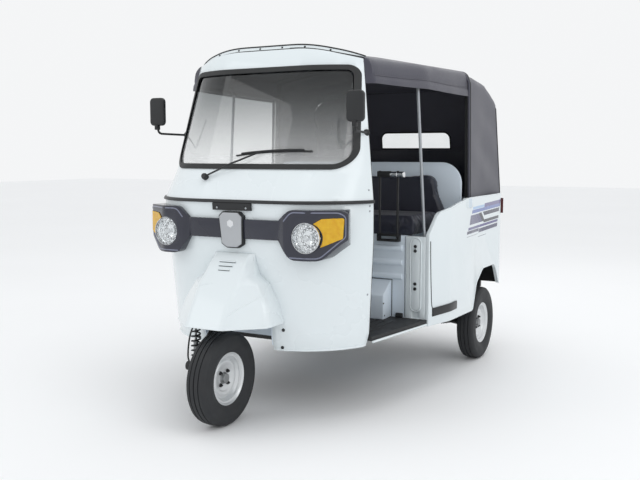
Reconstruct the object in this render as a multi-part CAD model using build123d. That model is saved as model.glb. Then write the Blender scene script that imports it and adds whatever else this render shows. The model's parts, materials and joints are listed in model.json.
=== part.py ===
"""Three-wheeled auto rickshaw: one steered wheel in front, two driven wheels behind.

Units are millimetres. X points to the vehicle's left, the nose faces -Y, Z is up.
Every piece is modelled with y = 0 on the front axle and z = 0 on the ground, and
export() moves it so that the origin is under the middle of the whole vehicle.
"""
from build123d import *
import math
import os

# ---------------------------------------------------------------- driving dimensions
WHEELBASE = 1920.0
REAR_TRACK = 1332.0
REAR_OVERHANG = 450.0        # rear axle to the back of the bumper
SEAT_GAP = 0.3               # between pieces that seat on curved or soft faces
RUNNING_GAP = 6.0            # between moving pieces and their surroundings

# tyres and wheels
TYRE_RADIUS = 232.5
TYRE_WIDTH = 115.0
RIM_RADIUS = 127.0           # bead seat
RIM_FLANGE = 9.0             # flange height above the bead seat
RIM_WIDTH = 84.0
RIM_THICK = 5.0
RIM_FLANGE_THICK = 6.0
WHEEL_BORE = 16.0            # radius of the hub's bore
AXLE_CLEARANCE = 0.06        # radial running clearance on the stub axles
DRUM_RADIUS = 80.0
DRUM_INNER = 60.0            # the drum's open end, measured inwards from the wheel's middle
BACK_PLATE_RADIUS = 84.0
BACK_PLATE_THICK = 6.0
HUB_CAP_RADIUS = 22.0
LUG_CIRCLE = 42.0            # radius of the wheel nuts' circle
LUG_RADIUS = 6.0
LUG_COUNT = 4

# driver's cab shell
COWL_CORNER = 450.0          # plan radius of the cab's front corners
COWL_WALL = 18.0
COWL_BOTTOM = 362.0
ROOF_CROWN = 1857.0
ROOF_SHOULDER = 1790.0
ROOF_SHOULDER_X = 545.0
COWL_SECTIONS = (            # height, half width of the flat front, front y, door edge y
    (COWL_BOTTOM, 146.0, 152.0, 446.0),
    (425.0, 151.0, 139.0, 455.0),
    (900.0, 190.0, 122.0, 425.0),
    (1090.0, 200.0, 105.0, 405.0),
    (1245.0, 200.0, 215.0, 445.0),
    (1900.0, 200.0, 455.0, 557.0),
)
WHEEL_OPENING_HALF = 205.0   # half width of the cut-out for the front wheel
WHEEL_OPENING_TOP = 600.0
WHEELHOUSE_WALL = 6.0
WHEELHOUSE_BACK = 330.0

# windscreen
SCREEN_BOTTOM = 1250.0
SCREEN_TOP = 1768.0
SCREEN_HALF_BOTTOM = 556.0
SCREEN_HALF_TOP = 500.0
SEAL_WIDTH = 26.0
SEAL_PROUD = 5.0
GLASS_THICK = 5.0
GLASS_INSET = 6.0
DASH_BOTTOM = 1135.0
DASH_THICK = 22.0

# front trim
TRIM_BOTTOM = 1086.0
TRIM_TOP = 1102.0
TRIM_PROUD = 9.0
BAND_BOTTOM = 912.0
BAND_TOP = 1008.0
BAND_HALF = 300.0
BAND_PROUD = 18.0
HEADLAMP_X = 411.0
HEADLAMP_Z = 930.0
HEADLAMP_RADIUS = 73.0
HEADLAMP_FRONT = 104.0       # lens face y
LAMP_RIM = 6.0               # band left between headlamp and indicator
POD_REAR = 306.0
INDICATOR_REAR = 240.0
INDICATOR_DEPTH = 16.0
INDICATOR_PROUD = 3.0
EMBLEM_PROUD = 30.0

# floor and chassis
FLOOR_TOP = 408.0
FLOOR_THICK = 22.0
SILL_FRONT_HALF = 590.0
SILL_REAR_HALF = 680.0
RAIL_X = 300.0
RAIL_WIDTH = 50.0
RAIL_HEIGHT = 60.0
CROSS_WIDTH = 50.0

# rear tub
TUB_HALF = 732.5
TUB_FRONT_HALF = 690.0
TUB_FRONT = 1000.0
TUB_REAR = 2320.0
TUB_WALL = 22.0
TUB_BOTTOM = 372.0
TUB_TOP = 1062.0
ARCH_TOP = 600.0
ARCH_FRONT = 1650.0
ARCH_REAR = 2215.0
BULKHEAD_THICK = 20.0
BULKHEAD_TOP = 870.0
DECK_THICK = 20.0
LUGGAGE_FRONT = 1580.0       # the deck widens to the tub's sides from here back
LUGGAGE_REAR = 2280.0
JAMB_WIDTH = 140.0
JAMB_THICK = 34.0

# roof
CANOPY_FRONT = 450.0
CANOPY_WALL = 6.0
SIDE_CLOTH_X = 440.0         # outside this the cloth starts behind the cab's pillar
SIDE_CLOTH_FRONT = 533.0
SIDE_CLOTH_TOP = 1796.0
ROOF_FRONT_END = 900.0       # y behind which the roof's plan is straight
CANOPY_EDGE = 1678.0         # lower edge of the side valances
CANOPY_SECTIONS = (          # y, half width, lower edge, shoulder height, crown height
    (350.0, 518.0, CANOPY_EDGE, 1798.0, 1864.0),
    (1050.0, 656.0, CANOPY_EDGE, 1806.0, 1876.0),
    (1790.0, 690.0, CANOPY_EDGE, 1812.0, 1886.0),
)
ROOF_LEAN = 14.0             # inward lean of the roof's sides, edge to shoulder
CROWN_SHARE = 0.45           # where the crown's slope starts, as a share of the half width
HOOD_FRONT = 1640.0          # front of the hood's hoop
HOOD_LAP = 22.0              # hood sheet ahead of its hoop, over the canopy's end
HOOD_BOTTOM = 1030.0
HOOD_WALL = 8.0
HOOD_HALF = TUB_HALF - 27.5
HOOD_SECTIONS = (            # y, half width, lower edge, shoulder height, crown height
    (1560.0, HOOD_HALF, HOOD_BOTTOM, 1828.0, 1900.0),
    (1700.0, HOOD_HALF, HOOD_BOTTOM, 1822.0, 1894.0),
    (1980.0, HOOD_HALF, HOOD_BOTTOM, 1776.0, 1840.0),
    (2130.0, HOOD_HALF, HOOD_BOTTOM, 1718.0, 1775.0),
    (2450.0, HOOD_HALF, HOOD_BOTTOM, 1560.0, 1610.0),
)
HOOD_TOP_REAR = 2182.0       # where the sloping back meets the roof
HOOD_TOP_REAR_Z = 1700.0
HOOD_BASE_REAR = 2296.0
REAR_WINDOW_LEFT = 366.0     # the window sits off centre, towards the left
REAR_WINDOW_RIGHT = -152.0
REAR_WINDOW_BOTTOM = 1362.0
REAR_WINDOW_TOP = 1476.0
POST_FOOT_X = 657.0
POST_TOP_X = 604.0
POST_RADIUS = 9.0
FRONT_BOW = 570.0
POST_Y = TUB_FRONT + JAMB_THICK / 2
RAIL_TUBE = 24.0
STRIP_WIDTH = 34.0
STRIP_THICK = 4.0

# seats
BENCH_TOP = 965.0
BENCH_HALF = 600.0
BENCH_BACK_TOP = 1215.0
BACK_LEAN = 75.0             # how far the backrest narrows towards its top, each side
BENCH_REAR = 1500.0
BENCH_BACK_REAR = 1580.0
DRIVER_BASE_FRONT = 580.0
DRIVER_BASE_REAR = 800.0
DRIVER_BASE_HALF = 210.0
DRIVER_BASE_TOP = 650.0
DRIVER_SEAT_HALF = 235.0
DRIVER_CUSHION = 100.0
DRIVER_BACK_THICK = 55.0
DRIVER_BACK_TOP = 1070.0
STEP_BOX_FRONT = 885.0       # sheet box at the foot of the bulkhead
STEP_BOX_HALF = 468.0
STEP_BOX_REAR_TOP = 620.0
STEP_BOX_FRONT_TOP = 545.0

# grab frames behind the driver
GRAB_RODS = (400.0, 508.0)
GRAB_Y = 978.0
GRAB_TOP = 1232.0
GRAB_RADIUS = 7.0

# steering
STEER_RAKE = 25.0            # degrees back from upright
COLUMN_RADIUS = 17.0
COLUMN_BOTTOM = 520.0        # height of the crown above the ground
HEAD_TUBE_RADIUS = 30.0
HEAD_TUBE_TOP = 770.0
HANDLEBAR_Z = 1000.0
HANDLEBAR_HALF = 300.0
HANDLEBAR_SWEEP = 60.0       # how far the grips sit behind the column
HANDLEBAR_RISE = 15.0
HANDLEBAR_RADIUS = 12.0
GRIP_RADIUS = 17.0
GRIP_LENGTH = 120.0
FORK_X = 95.0                # the single fork leg stands this far to the right
LINK_PIVOT_Y = -95.0
LINK_PIVOT_Z = 300.0
LINK_THICK = 20.0
PIVOT_BOSS = 22.0
FRONT_SPRING_RADIUS = 27.0
FRONT_SPRING_Y = -15.0
FRONT_SPRING_BOTTOM = 288.0
FRONT_SPRING_TOP = 500.0

# mirrors
MIRROR_X = 590.0
MIRROR_Y = 272.0
MIRROR_Z = 1550.0
MIRROR_WIDTH = 92.0
MIRROR_HEIGHT = 148.0
MIRROR_THICK = 28.0
MIRROR_ARM = 6.0
MIRROR_FOOT = (556.0, 478.0, 1430.0)     # the arm ends inside the pillar's face

# mechanical pieces under the tub
ENGINE_HALF = 210.0
ENGINE_FRONT = 1550.0        # against the cross member
ENGINE_REAR = 1960.0
ENGINE_BOTTOM = 215.0
ENGINE_TOP = 545.0
ARM_WIDTH = 44.0
ARM_HEIGHT = 46.0
ARM_PIVOT_Y = 1480.0
ARM_PIVOT_Z = 346.0
DRIVE_SHAFT_RADIUS = 14.0
SPRING_RADIUS = 38.0
SPRING_Y = 1760.0
SPRING_TOP = 520.0
MUFFLER_RADIUS = 55.0
MUFFLER_HALF = 190.0
MUFFLER_Y = 2090.0
MUFFLER_Z = 300.0
BUMPER_HALF = 560.0
BUMPER_BOTTOM = 398.0
BUMPER_TOP = 458.0
BUMPER_THICK = 30.0
BUMPER_HOLE_RADIUS = 4.5
BUMPER_HOLE_SPACING = 200.0
PLATE_HOLE_RADIUS = 3.0
PLATE_HOLE_Z = 1068.0
PLATE_HOLE_SPACING = 160.0

# engine lid in the rear panel
LID_HALF = 430.0
LID_BOTTOM = 520.0
LID_TOP = 900.0
LID_GAP = 6.0
LID_PIN_RADIUS = 5.0
KNUCKLE_RADIUS = 9.0
KNUCKLE_LENGTH = 60.0
KNUCKLE_X = 300.0
KNUCKLE_GAP = 0.5

ARM_X = REAR_TRACK / 2 - DRUM_INNER - RUNNING_GAP - BACK_PLATE_THICK - ARM_WIDTH
SPRING_X = ARM_X - SPRING_RADIUS - 4
LENGTH = TYRE_RADIUS + WHEELBASE + REAR_OVERHANG
FRONT_AXLE_Y = -LENGTH / 2 + TYRE_RADIUS
LEFT, RIGHT = 1, -1
SIDES = (("left", LEFT), ("right", RIGHT))


# ---------------------------------------------------------------- helpers
def outline(points, radii):
    """A closed outline of straight runs with rounded corners, as a face."""
    return make_face(FilletPolyline(*points, radius=radii, close=True).edges())


def along_y(face, y0, y1):
    """Stand a face drawn as (x, z) upright and extrude it from y0 back to y1."""
    return extrude(Plane((0, y1, 0), x_dir=(1, 0, 0), z_dir=(0, -1, 0)) * face, y1 - y0)


def along_x(face, x0, x1):
    """Stand a face drawn as (y, z) upright and extrude it from x0 to x1."""
    return extrude(Plane((x0, 0, 0), x_dir=(0, 1, 0), z_dir=(1, 0, 0)) * face, x1 - x0)


def block(x0, x1, y0, y1, z0, z1):
    """A box by its two corners."""
    size = Box(x1 - x0, y1 - y0, z1 - z0)
    return Pos((x0 + x1) / 2, (y0 + y1) / 2, (z0 + z1) / 2) * size


def mirrored(points):
    """The left half of an upright outline, closed by its mirror image on the right."""
    return list(points) + [(-x, z) for x, z in reversed(points)]


def rod(start, end, radius):
    """A round bar between two points."""
    run = Vector(*end) - Vector(*start)
    return extrude(Plane(start, z_dir=run.normalized()) * Circle(radius), run.length)


def tube_path(points, bends, radius):
    """A round bar along straight runs joined by tangent arcs."""
    path = FilletPolyline(*points, radius=bends)
    section = Plane(path @ 0, z_dir=path % 0) * Circle(radius)
    return sweep(section, path=path)


def pair(shape):
    """A left-hand shape with its mirror image on the right."""
    return [shape, mirror(shape, about=Plane.YZ)]


PIECES = {}


def keep(name, *shapes):
    """Collect the solids of one sub-part."""
    solids = []
    for shape in shapes:
        solids += shape if isinstance(shape, list) else [shape]
    PIECES[name] = solids


def export():
    os.makedirs("parts", exist_ok=True)
    for name, solids in PIECES.items():
        found = [solid for shape in solids for solid in shape.solids()]
        placed = [Pos(0, FRONT_AXLE_Y, 0) * solid for solid in found]
        shape = placed[0] if len(placed) == 1 else Compound(children=placed)
        export_step(shape, os.path.join("parts", name + ".step"))


# ---------------------------------------------------------------- cab shell
def cowl_section(z, flat, front, rear, inset):
    """One level section: a flat front, two large corner arcs and the open door side."""
    radius = COWL_CORNER - inset
    centre_y = front + COWL_CORNER
    reach = math.sqrt(radius**2 - (centre_y - rear) ** 2)
    swing = math.atan2(flat + reach - flat, centre_y - rear)
    mid = (flat + radius * math.sin(swing / 2), centre_y - radius * math.cos(swing / 2))
    nose, edge = (flat, centre_y - radius), (flat + reach, rear)
    run = [
        Line((-nose[0], nose[1], z), (nose[0], nose[1], z)),
        ThreePointArc((nose[0], nose[1], z), (mid[0], mid[1], z), (edge[0], edge[1], z)),
        Line((edge[0], edge[1], z), (-edge[0], edge[1], z)),
        ThreePointArc((-edge[0], edge[1], z), (-mid[0], mid[1], z), (-nose[0], nose[1], z)),
    ]
    return Wire([piece.edge() for piece in run])


def roof_outline(inset):
    """Front view of the cab's arched roof, lowered by inset."""
    half = [
        (ROOF_SHOULDER_X + 260.0, 300.0),
        (ROOF_SHOULDER_X + 260.0, 1420.0),
        (ROOF_SHOULDER_X - inset, ROOF_SHOULDER - inset),
        (260.0, ROOF_CROWN - inset),
    ]
    points = mirrored(half)
    return outline(points, [0, 0, 40, 900, 900, 40, 0, 0])


def cowl_solid(inset=0.0, rear=0.0, below=0.0):
    """The cab's outer form, moved inwards by inset, its open side moved back by rear."""
    rows = list(COWL_SECTIONS)
    if below:
        rows.insert(0, (COWL_BOTTOM - below,) + COWL_SECTIONS[0][1:])
    wires = [cowl_section(z, flat, y0, y1 + rear, inset) for z, flat, y0, y1 in rows]
    body = Solid.make_loft(wires, ruled=True)
    return body & along_y(roof_outline(inset), -400, 1200)


OUTER = cowl_solid()
OUTER_CLEAR = cowl_solid(inset=-SEAT_GAP, rear=1.0, below=1.0)
INNER = cowl_solid(inset=COWL_WALL, rear=120.0, below=60.0)


def screen_outline(inset):
    """Front view of the windscreen opening, taken in by inset."""
    half = [
        (SCREEN_HALF_BOTTOM - inset, SCREEN_BOTTOM + inset),
        (SCREEN_HALF_TOP - inset, SCREEN_TOP - inset),
    ]
    points = mirrored(half)
    return outline(points, [100 - inset, 62 - inset, 62 - inset, 100 - inset])


def make_cab():
    opening = along_y(screen_outline(0), -400, 1200)
    arch = block(-WHEEL_OPENING_HALF, WHEEL_OPENING_HALF, -400, 400, 300, WHEEL_OPENING_TOP)
    shell = OUTER - INNER - opening - arch
    for x in (-PLATE_HOLE_SPACING / 2, PLATE_HOLE_SPACING / 2):
        shell -= rod((x, -200, PLATE_HOLE_Z), (x, 200, PLATE_HOLE_Z), PLATE_HOLE_RADIUS)
    keep("front_cowl", shell)

    ring = opening - along_y(screen_outline(SEAL_WIDTH), -500, 1300)
    seal_layer = cowl_solid(inset=-SEAL_PROUD) - INNER
    keep("windscreen_seal", ring & seal_layer)

    pane = along_y(screen_outline(SEAL_WIDTH), -400, 1200)
    glass_layer = cowl_solid(inset=GLASS_INSET) - cowl_solid(GLASS_INSET + GLASS_THICK, rear=60)
    keep("windscreen_glass", pane & glass_layer)

    proud = cowl_solid(inset=-TRIM_PROUD)
    slab = block(-900, 900, -400, 1200, TRIM_BOTTOM, TRIM_TOP)
    keep("waist_trim", (proud & slab) - OUTER_CLEAR)

    bracket = block(-112, 112, -400, 400, 1050, TRIM_BOTTOM - SEAT_GAP)
    bracket = (cowl_solid(inset=-14.0) & bracket) - OUTER_CLEAR
    for x in (-PLATE_HOLE_SPACING / 2, PLATE_HOLE_SPACING / 2):
        bracket -= rod((x, -200, PLATE_HOLE_Z), (x, 200, PLATE_HOLE_Z), PLATE_HOLE_RADIUS)
    keep("plate_bracket", bracket)

    shelf = block(-520, 520, -400, 300, DASH_BOTTOM, DASH_BOTTOM + DASH_THICK)
    keep("dashboard", shelf & cowl_solid(inset=COWL_WALL + SEAT_GAP, rear=40))


# ---------------------------------------------------------------- lamp band and badge
POD_HALF_OUTLINE = (         # x, z, corner radius
    (262.0, BAND_BOTTOM, 20.0),
    (330.0, 822.0, 60.0),
    (480.0, 822.0, 60.0),
    (588.0, 925.0, 30.0),
    (588.0, 1062.0, 40.0),
    (330.0, 1062.0, 60.0),
    (262.0, BAND_TOP, 20.0),
)
POD_PLAN = (                 # x, y, corner radius: the pod's front seen from above
    (262.0, 340.0, 0.0),
    (262.0, 104.0, 0.0),
    (296.0, 92.0, 20.0),
    (420.0, 96.0, 80.0),
    (560.0, 176.0, 50.0),
    (585.0, 214.0, 10.0),
    (536.0, 340.0, 0.0),
)
INDICATOR_OUTLINE = (        # x, z, corner radius
    (474.0, 884.0, 10.0),
    (568.0, 928.0, 8.0),
    (572.0, 1026.0, 8.0),
    (484.0, 1022.0, 10.0),
    (446.0, 996.0, 6.0),
)
EMBLEM_HALF_OUTLINE = (      # x, z
    (30.0, 868.0),
    (58.0, 886.0),
    (66.0, 1020.0),
    (44.0, 1040.0),
)


def table_face(table):
    """A face from a table of x, z and corner radius."""
    return outline([row[:2] for row in table], [row[2] for row in table])


def pod_form(inset):
    """The left lamp pod's block in plan, moved inwards by inset."""
    plan = offset(table_face(POD_PLAN), -inset) if inset else table_face(POD_PLAN)
    return extrude(Pos(0, 0, BAND_BOTTOM - 150) * plan, 400)


def make_lamps():
    emblem_points = mirrored(EMBLEM_HALF_OUTLINE)
    emblem_face = outline(emblem_points, 8)
    emblem_room = along_y(offset(emblem_face, SEAT_GAP), -400, 400)
    emblem = along_y(emblem_face, -400, 400)

    bar = block(-BAND_HALF, BAND_HALF, -400, 400, BAND_BOTTOM, BAND_TOP)
    bar &= cowl_solid(inset=-BAND_PROUD)
    pod = along_y(table_face(POD_HALF_OUTLINE), 0, POD_REAR) & pod_form(0)
    lens_room = along_y(
        Pos(HEADLAMP_X, HEADLAMP_Z) * Circle(HEADLAMP_RADIUS + SEAT_GAP), 0, POD_REAR)
    amber_face = table_face(INDICATOR_OUTLINE) - Pos(HEADLAMP_X, HEADLAMP_Z) * Circle(
        HEADLAMP_RADIUS + LAMP_RIM)
    amber_room = along_y(offset(amber_face, SEAT_GAP), 0, INDICATOR_REAR)
    pod = pod - lens_room - (amber_room - pod_form(INDICATOR_DEPTH))
    band = bar + pod + mirror(pod, about=Plane.YZ)
    keep("lamp_band", band - OUTER_CLEAR - emblem_room)

    amber = along_y(amber_face, 0, INDICATOR_REAR - SEAT_GAP) & pod_form(-INDICATOR_PROUD)
    keep("indicators", pair(amber - pod_form(INDICATOR_DEPTH - SEAT_GAP)))

    lens_face = Pos(HEADLAMP_X, HEADLAMP_Z) * Circle(HEADLAMP_RADIUS)
    lens = along_y(lens_face, HEADLAMP_FRONT, 300) - OUTER_CLEAR
    front = lens.edges().filter_by(GeomType.CIRCLE).sort_by(Axis.Y)[0]
    keep("headlamps", pair(chamfer(front, 10)))

    keep("nose_emblem", (emblem & cowl_solid(inset=-EMBLEM_PROUD)) - OUTER_CLEAR)


# ---------------------------------------------------------------- front mudguard
GUARD_WALL = 8.0
GUARD_SEAT_Y = 210.0         # behind the cab's face, trimmed by it
GUARD_SECTIONS = (           # height, front y, nose half width, shoulder y, side half width
    (505.0, -158.0, 100.0, 0.0, 270.0),
    (600.0, -102.0, 100.0, 30.0, 246.0),
    (700.0, -25.0, 110.0, 60.0, 200.0),
    (738.0, 6.0, 112.0, 80.0, 148.0),
    (790.0, 52.0, 104.0, 100.0, 130.0),
    (838.0, 106.0, 92.0, 122.0, 118.0),
)


def guard_section(z, front, nose, shoulder, side, inset):
    radii = [0, 60 - inset, 45 - inset, 45 - inset, 60 - inset, 0]
    points = [
        (side - inset, GUARD_SEAT_Y, z),
        (side - inset, shoulder, z),
        (nose - inset * 0.6, front + inset, z),
        (inset * 0.6 - nose, front + inset, z),
        (inset - side, shoulder, z),
        (inset - side, GUARD_SEAT_Y, z),
    ]
    if shoulder - front < 60:
        radii = [0, 12, 12, 12, 12, 0]
    return FilletPolyline(*points, radius=radii, close=True).wire()


def guard_solid(inset, lower):
    wires = [guard_section(z - lower, *row, inset) for z, *row in GUARD_SECTIONS]
    return Solid.make_loft(wires, ruled=True)


def make_mudguard():
    shell = guard_solid(0.0, 0.0) - guard_solid(GUARD_WALL, GUARD_WALL)
    keep("front_mudguard", shell - OUTER_CLEAR)


# ---------------------------------------------------------------- floor, wheelhouse, chassis
def make_floor():
    half = WHEEL_OPENING_HALF + SEAT_GAP
    sheet = outline(
        [(SILL_FRONT_HALF, 440), (SILL_REAR_HALF, TUB_FRONT), (-SILL_REAR_HALF, TUB_FRONT),
         (-SILL_FRONT_HALF, 440), (-420, 200), (420, 200)], 0)
    floor = extrude(Pos(0, 0, FLOOR_TOP - FLOOR_THICK) * sheet, FLOOR_THICK)
    floor -= cowl_band_below()
    floor -= block(-half, half, -400, WHEELHOUSE_BACK + WHEELHOUSE_WALL + SEAT_GAP, 300, 500)
    keep("floor_pan", floor)


def cowl_band_below():
    """Room for the cab shell's lower edge and everything ahead of it."""
    inner = cowl_solid(inset=COWL_WALL + SEAT_GAP, rear=60.0, below=60.0)
    around = block(-900, 900, -600, 460, 300, 460)
    return around - inner


def steering_plane(z):
    """The point on the raked steering axis at height z."""
    return Vector(0, (z - TYRE_RADIUS) * math.tan(math.radians(STEER_RAKE)), z)


def make_wheelhouse():
    half, wall = WHEEL_OPENING_HALF, WHEELHOUSE_WALL
    outer = block(-half, half, 60, WHEELHOUSE_BACK + wall, FLOOR_TOP - FLOOR_THICK, WHEEL_OPENING_TOP)
    room = block(-half + wall, half - wall, 0, WHEELHOUSE_BACK, 300, WHEEL_OPENING_TOP - wall)
    head = rod(steering_plane(500), steering_plane(HEAD_TUBE_TOP), HEAD_TUBE_RADIUS)
    head -= block(-100, 100, -200, 400, 400, WHEEL_OPENING_TOP - wall)
    head &= cowl_solid(inset=COWL_WALL + SEAT_GAP, rear=120, below=60)
    bore = rod(steering_plane(400), steering_plane(900), COLUMN_RADIUS + AXLE_CLEARANCE)
    keep("wheelhouse", outer - room - cowl_ahead() + head - bore)


def cowl_ahead():
    """Everything ahead of the cab shell's outer face."""
    return block(-600, 600, -600, 455, 300, 1000) - cowl_solid(below=80.0)


def make_chassis():
    top = FLOOR_TOP - FLOOR_THICK
    x0, x1 = RAIL_X - RAIL_WIDTH / 2, RAIL_X + RAIL_WIDTH / 2
    rail = block(x0, x1, 380, TUB_REAR - 80, top - RAIL_HEIGHT, top)
    frame = rail + mirror(rail, about=Plane.YZ)
    for y in (450, 1000, ENGINE_FRONT - CROSS_WIDTH, 2190):
        frame += block(-x0, x0, y, y + CROSS_WIDTH, top - RAIL_HEIGHT + 8, top - 8)
    tower = block(x0, x1, SPRING_Y - 30, SPRING_Y + 30, top, SPRING_TOP + 20)
    tower += block(x0, SPRING_X + SPRING_RADIUS, SPRING_Y - 30, SPRING_Y + 30,
                   SPRING_TOP, SPRING_TOP + 20)
    frame += tower + mirror(tower, about=Plane.YZ)
    keep("chassis_frame", frame)


# ---------------------------------------------------------------- rear tub
def tub_outline(inset):
    """Plan of the rear tub: open in front, rounded at the back corners."""
    half = [
        (TUB_FRONT_HALF - inset, TUB_FRONT),
        (TUB_HALF - inset, TUB_FRONT + 230),
        (TUB_HALF - inset, TUB_REAR - inset),
    ]
    points = half + [(-x, y) for x, y in reversed(half)]
    corner = 120 - inset
    return outline(points, [0, 300, corner, corner, 300, 0])


def side_profile():
    """Side view of the tub: the waistline on top, the wheel arch below."""
    points = [
        (TUB_FRONT - 10, TUB_BOTTOM),
        (ARCH_FRONT, TUB_BOTTOM - 15),
        (ARCH_FRONT + 70, 520),
        (ARCH_FRONT + 200, ARCH_TOP),
        (ARCH_REAR - 110, ARCH_TOP),
        (ARCH_REAR, 440),
        (TUB_REAR + 10, 500),
        (TUB_REAR + 10, TUB_TOP),
        (1570, TUB_TOP),
        (1350, 1038),
        (1100, 1000),
        (TUB_FRONT - 10, BULKHEAD_TOP),
    ]
    return outline(points, [0, 20, 60, 90, 90, 40, 0, 0, 200, 0, 60, 0])


def make_tub():
    plan = extrude(Pos(0, 0, 300) * (tub_outline(0) - tub_outline(TUB_WALL)), 900)
    mouth = block(-TUB_FRONT_HALF + TUB_WALL, TUB_FRONT_HALF - TUB_WALL, 900, 1100, 200, 1300)
    tub = (plan & along_x(side_profile(), -800, 800)) - mouth
    split = TUB_HALF - 150
    side = tub & block(split, 800, 900, 2400, 200, 1300)
    keep("body_side_left", side)
    keep("body_side_right", mirror(side, about=Plane.YZ))

    back = tub & block(-split, split, 2000, 2400, 200, 1300)
    lid_room = block(-LID_HALF - LID_GAP, LID_HALF + LID_GAP, 2200, 2400,
                     LID_BOTTOM - LID_GAP, LID_TOP + LID_GAP)
    back -= lid_room
    for side in (-KNUCKLE_X, KNUCKLE_X):
        back += panel_knuckles(side)
    keep("rear_panel", back)
    make_lid()

    ring = tub_outline(-16) - tub_outline(-SEAT_GAP)
    lamp = extrude(Pos(0, 0, 930) * ring, 100) & block(600, 800, 2235, 2400, 930, 1030)
    keep("tail_lamps", pair(lamp))
    plate_ring = tub_outline(-6) - tub_outline(-SEAT_GAP)
    plate = extrude(Pos(0, 0, 422) * plate_ring, 48) & block(600, 800, 1035, 1340, 422, 470)
    keep("side_guards", pair(plate))


LID_PIN_Y = TUB_REAR + KNUCKLE_RADIUS + KNUCKLE_GAP
LID_PIN_Z = LID_TOP + LID_GAP / 2


def panel_knuckles(x):
    """The two fixed knuckles of one hinge with the pin between them, on the panel's back."""
    reach = KNUCKLE_LENGTH / 2 + KNUCKLE_GAP
    pin = rod((x - reach - 20, LID_PIN_Y, LID_PIN_Z), (x + reach + 20, LID_PIN_Y, LID_PIN_Z),
              LID_PIN_RADIUS)
    for x0 in (x - reach - 20, x + reach):
        pin += rod((x0, LID_PIN_Y, LID_PIN_Z), (x0 + 20, LID_PIN_Y, LID_PIN_Z), KNUCKLE_RADIUS)
        pin += block(x0, x0 + 20, TUB_REAR, LID_PIN_Y, LID_PIN_Z, LID_PIN_Z + 30)
    return pin


def make_lid():
    lid = block(-LID_HALF, LID_HALF, TUB_REAR - TUB_WALL, TUB_REAR, LID_BOTTOM, LID_TOP)
    for x in (-KNUCKLE_X, KNUCKLE_X):
        x0, x1 = x - KNUCKLE_LENGTH / 2, x + KNUCKLE_LENGTH / 2
        lid += block(x0, x1, TUB_REAR, LID_PIN_Y, LID_PIN_Z - 30, LID_PIN_Z)
        lid += rod((x0, LID_PIN_Y, LID_PIN_Z), (x1, LID_PIN_Y, LID_PIN_Z), KNUCKLE_RADIUS)
        lid -= rod((x0 - 1, LID_PIN_Y, LID_PIN_Z), (x1 + 1, LID_PIN_Y, LID_PIN_Z),
                   LID_PIN_RADIUS + AXLE_CLEARANCE)
    lid += block(-45, 45, TUB_REAR, TUB_REAR + 14, LID_BOTTOM + 30, LID_BOTTOM + 55)
    keep("engine_lid", lid)


def make_bulkhead():
    half = TUB_FRONT_HALF - JAMB_WIDTH
    foot = FLOOR_TOP - FLOOR_THICK
    sheet = block(-half, half, TUB_FRONT, TUB_FRONT + BULKHEAD_THICK, foot, BULKHEAD_TOP)
    for z in (640, 720, 800):
        rib = outline([(TUB_FRONT, z - 18), (TUB_FRONT - 12, z - 8), (TUB_FRONT - 12, z + 8),
                       (TUB_FRONT, z + 18)], 0)
        sheet += along_x(rib, -half + 20, half - 20)
    deck = block(-half, half, TUB_FRONT, LUGGAGE_FRONT, BULKHEAD_TOP - DECK_THICK, BULKHEAD_TOP)
    room = extrude(Pos(0, 0, BULKHEAD_TOP - DECK_THICK) * tub_outline(TUB_WALL + SEAT_GAP),
                   DECK_THICK)
    deck += room & block(-TUB_HALF, TUB_HALF, LUGGAGE_FRONT, LUGGAGE_REAR, BULKHEAD_TOP - 100,
                         BULKHEAD_TOP + 100)
    keep("bulkhead", sheet + deck)

    x1 = TUB_FRONT_HALF - TUB_WALL
    jamb = block(half, x1, TUB_FRONT, TUB_FRONT + JAMB_THICK, TUB_BOTTOM, BULKHEAD_TOP)
    channel = block(half + 38, half + 84, TUB_FRONT - 5, TUB_FRONT + 12, TUB_BOTTOM + 40,
                    BULKHEAD_TOP - 15)
    keep("door_jambs", pair(jamb - channel))


def make_wheel_wells():
    x0, x1 = REAR_TRACK / 2 - TYRE_WIDTH / 2 - 45, TUB_HALF - TUB_WALL
    table = [(ARCH_FRONT + 10, 390), (ARCH_FRONT + 10, 640), (ARCH_REAR + 20, 640),
             (ARCH_REAR + 20, 460)]
    outer = along_x(outline(table, [0, 130, 130, 0]), x0, x1)
    inner_table = [(ARCH_FRONT + 18, 300), (ARCH_FRONT + 18, 632), (ARCH_REAR + 12, 632),
                   (ARCH_REAR + 12, 300)]
    inner = along_x(outline(inner_table, [0, 122, 122, 0]), x0 + 8, x1 + 50)
    tub_room = extrude(Pos(0, 0, 300) * tub_outline(TUB_WALL + SEAT_GAP), 400)
    keep("wheel_wells", pair((outer - inner) & tub_room))


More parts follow.
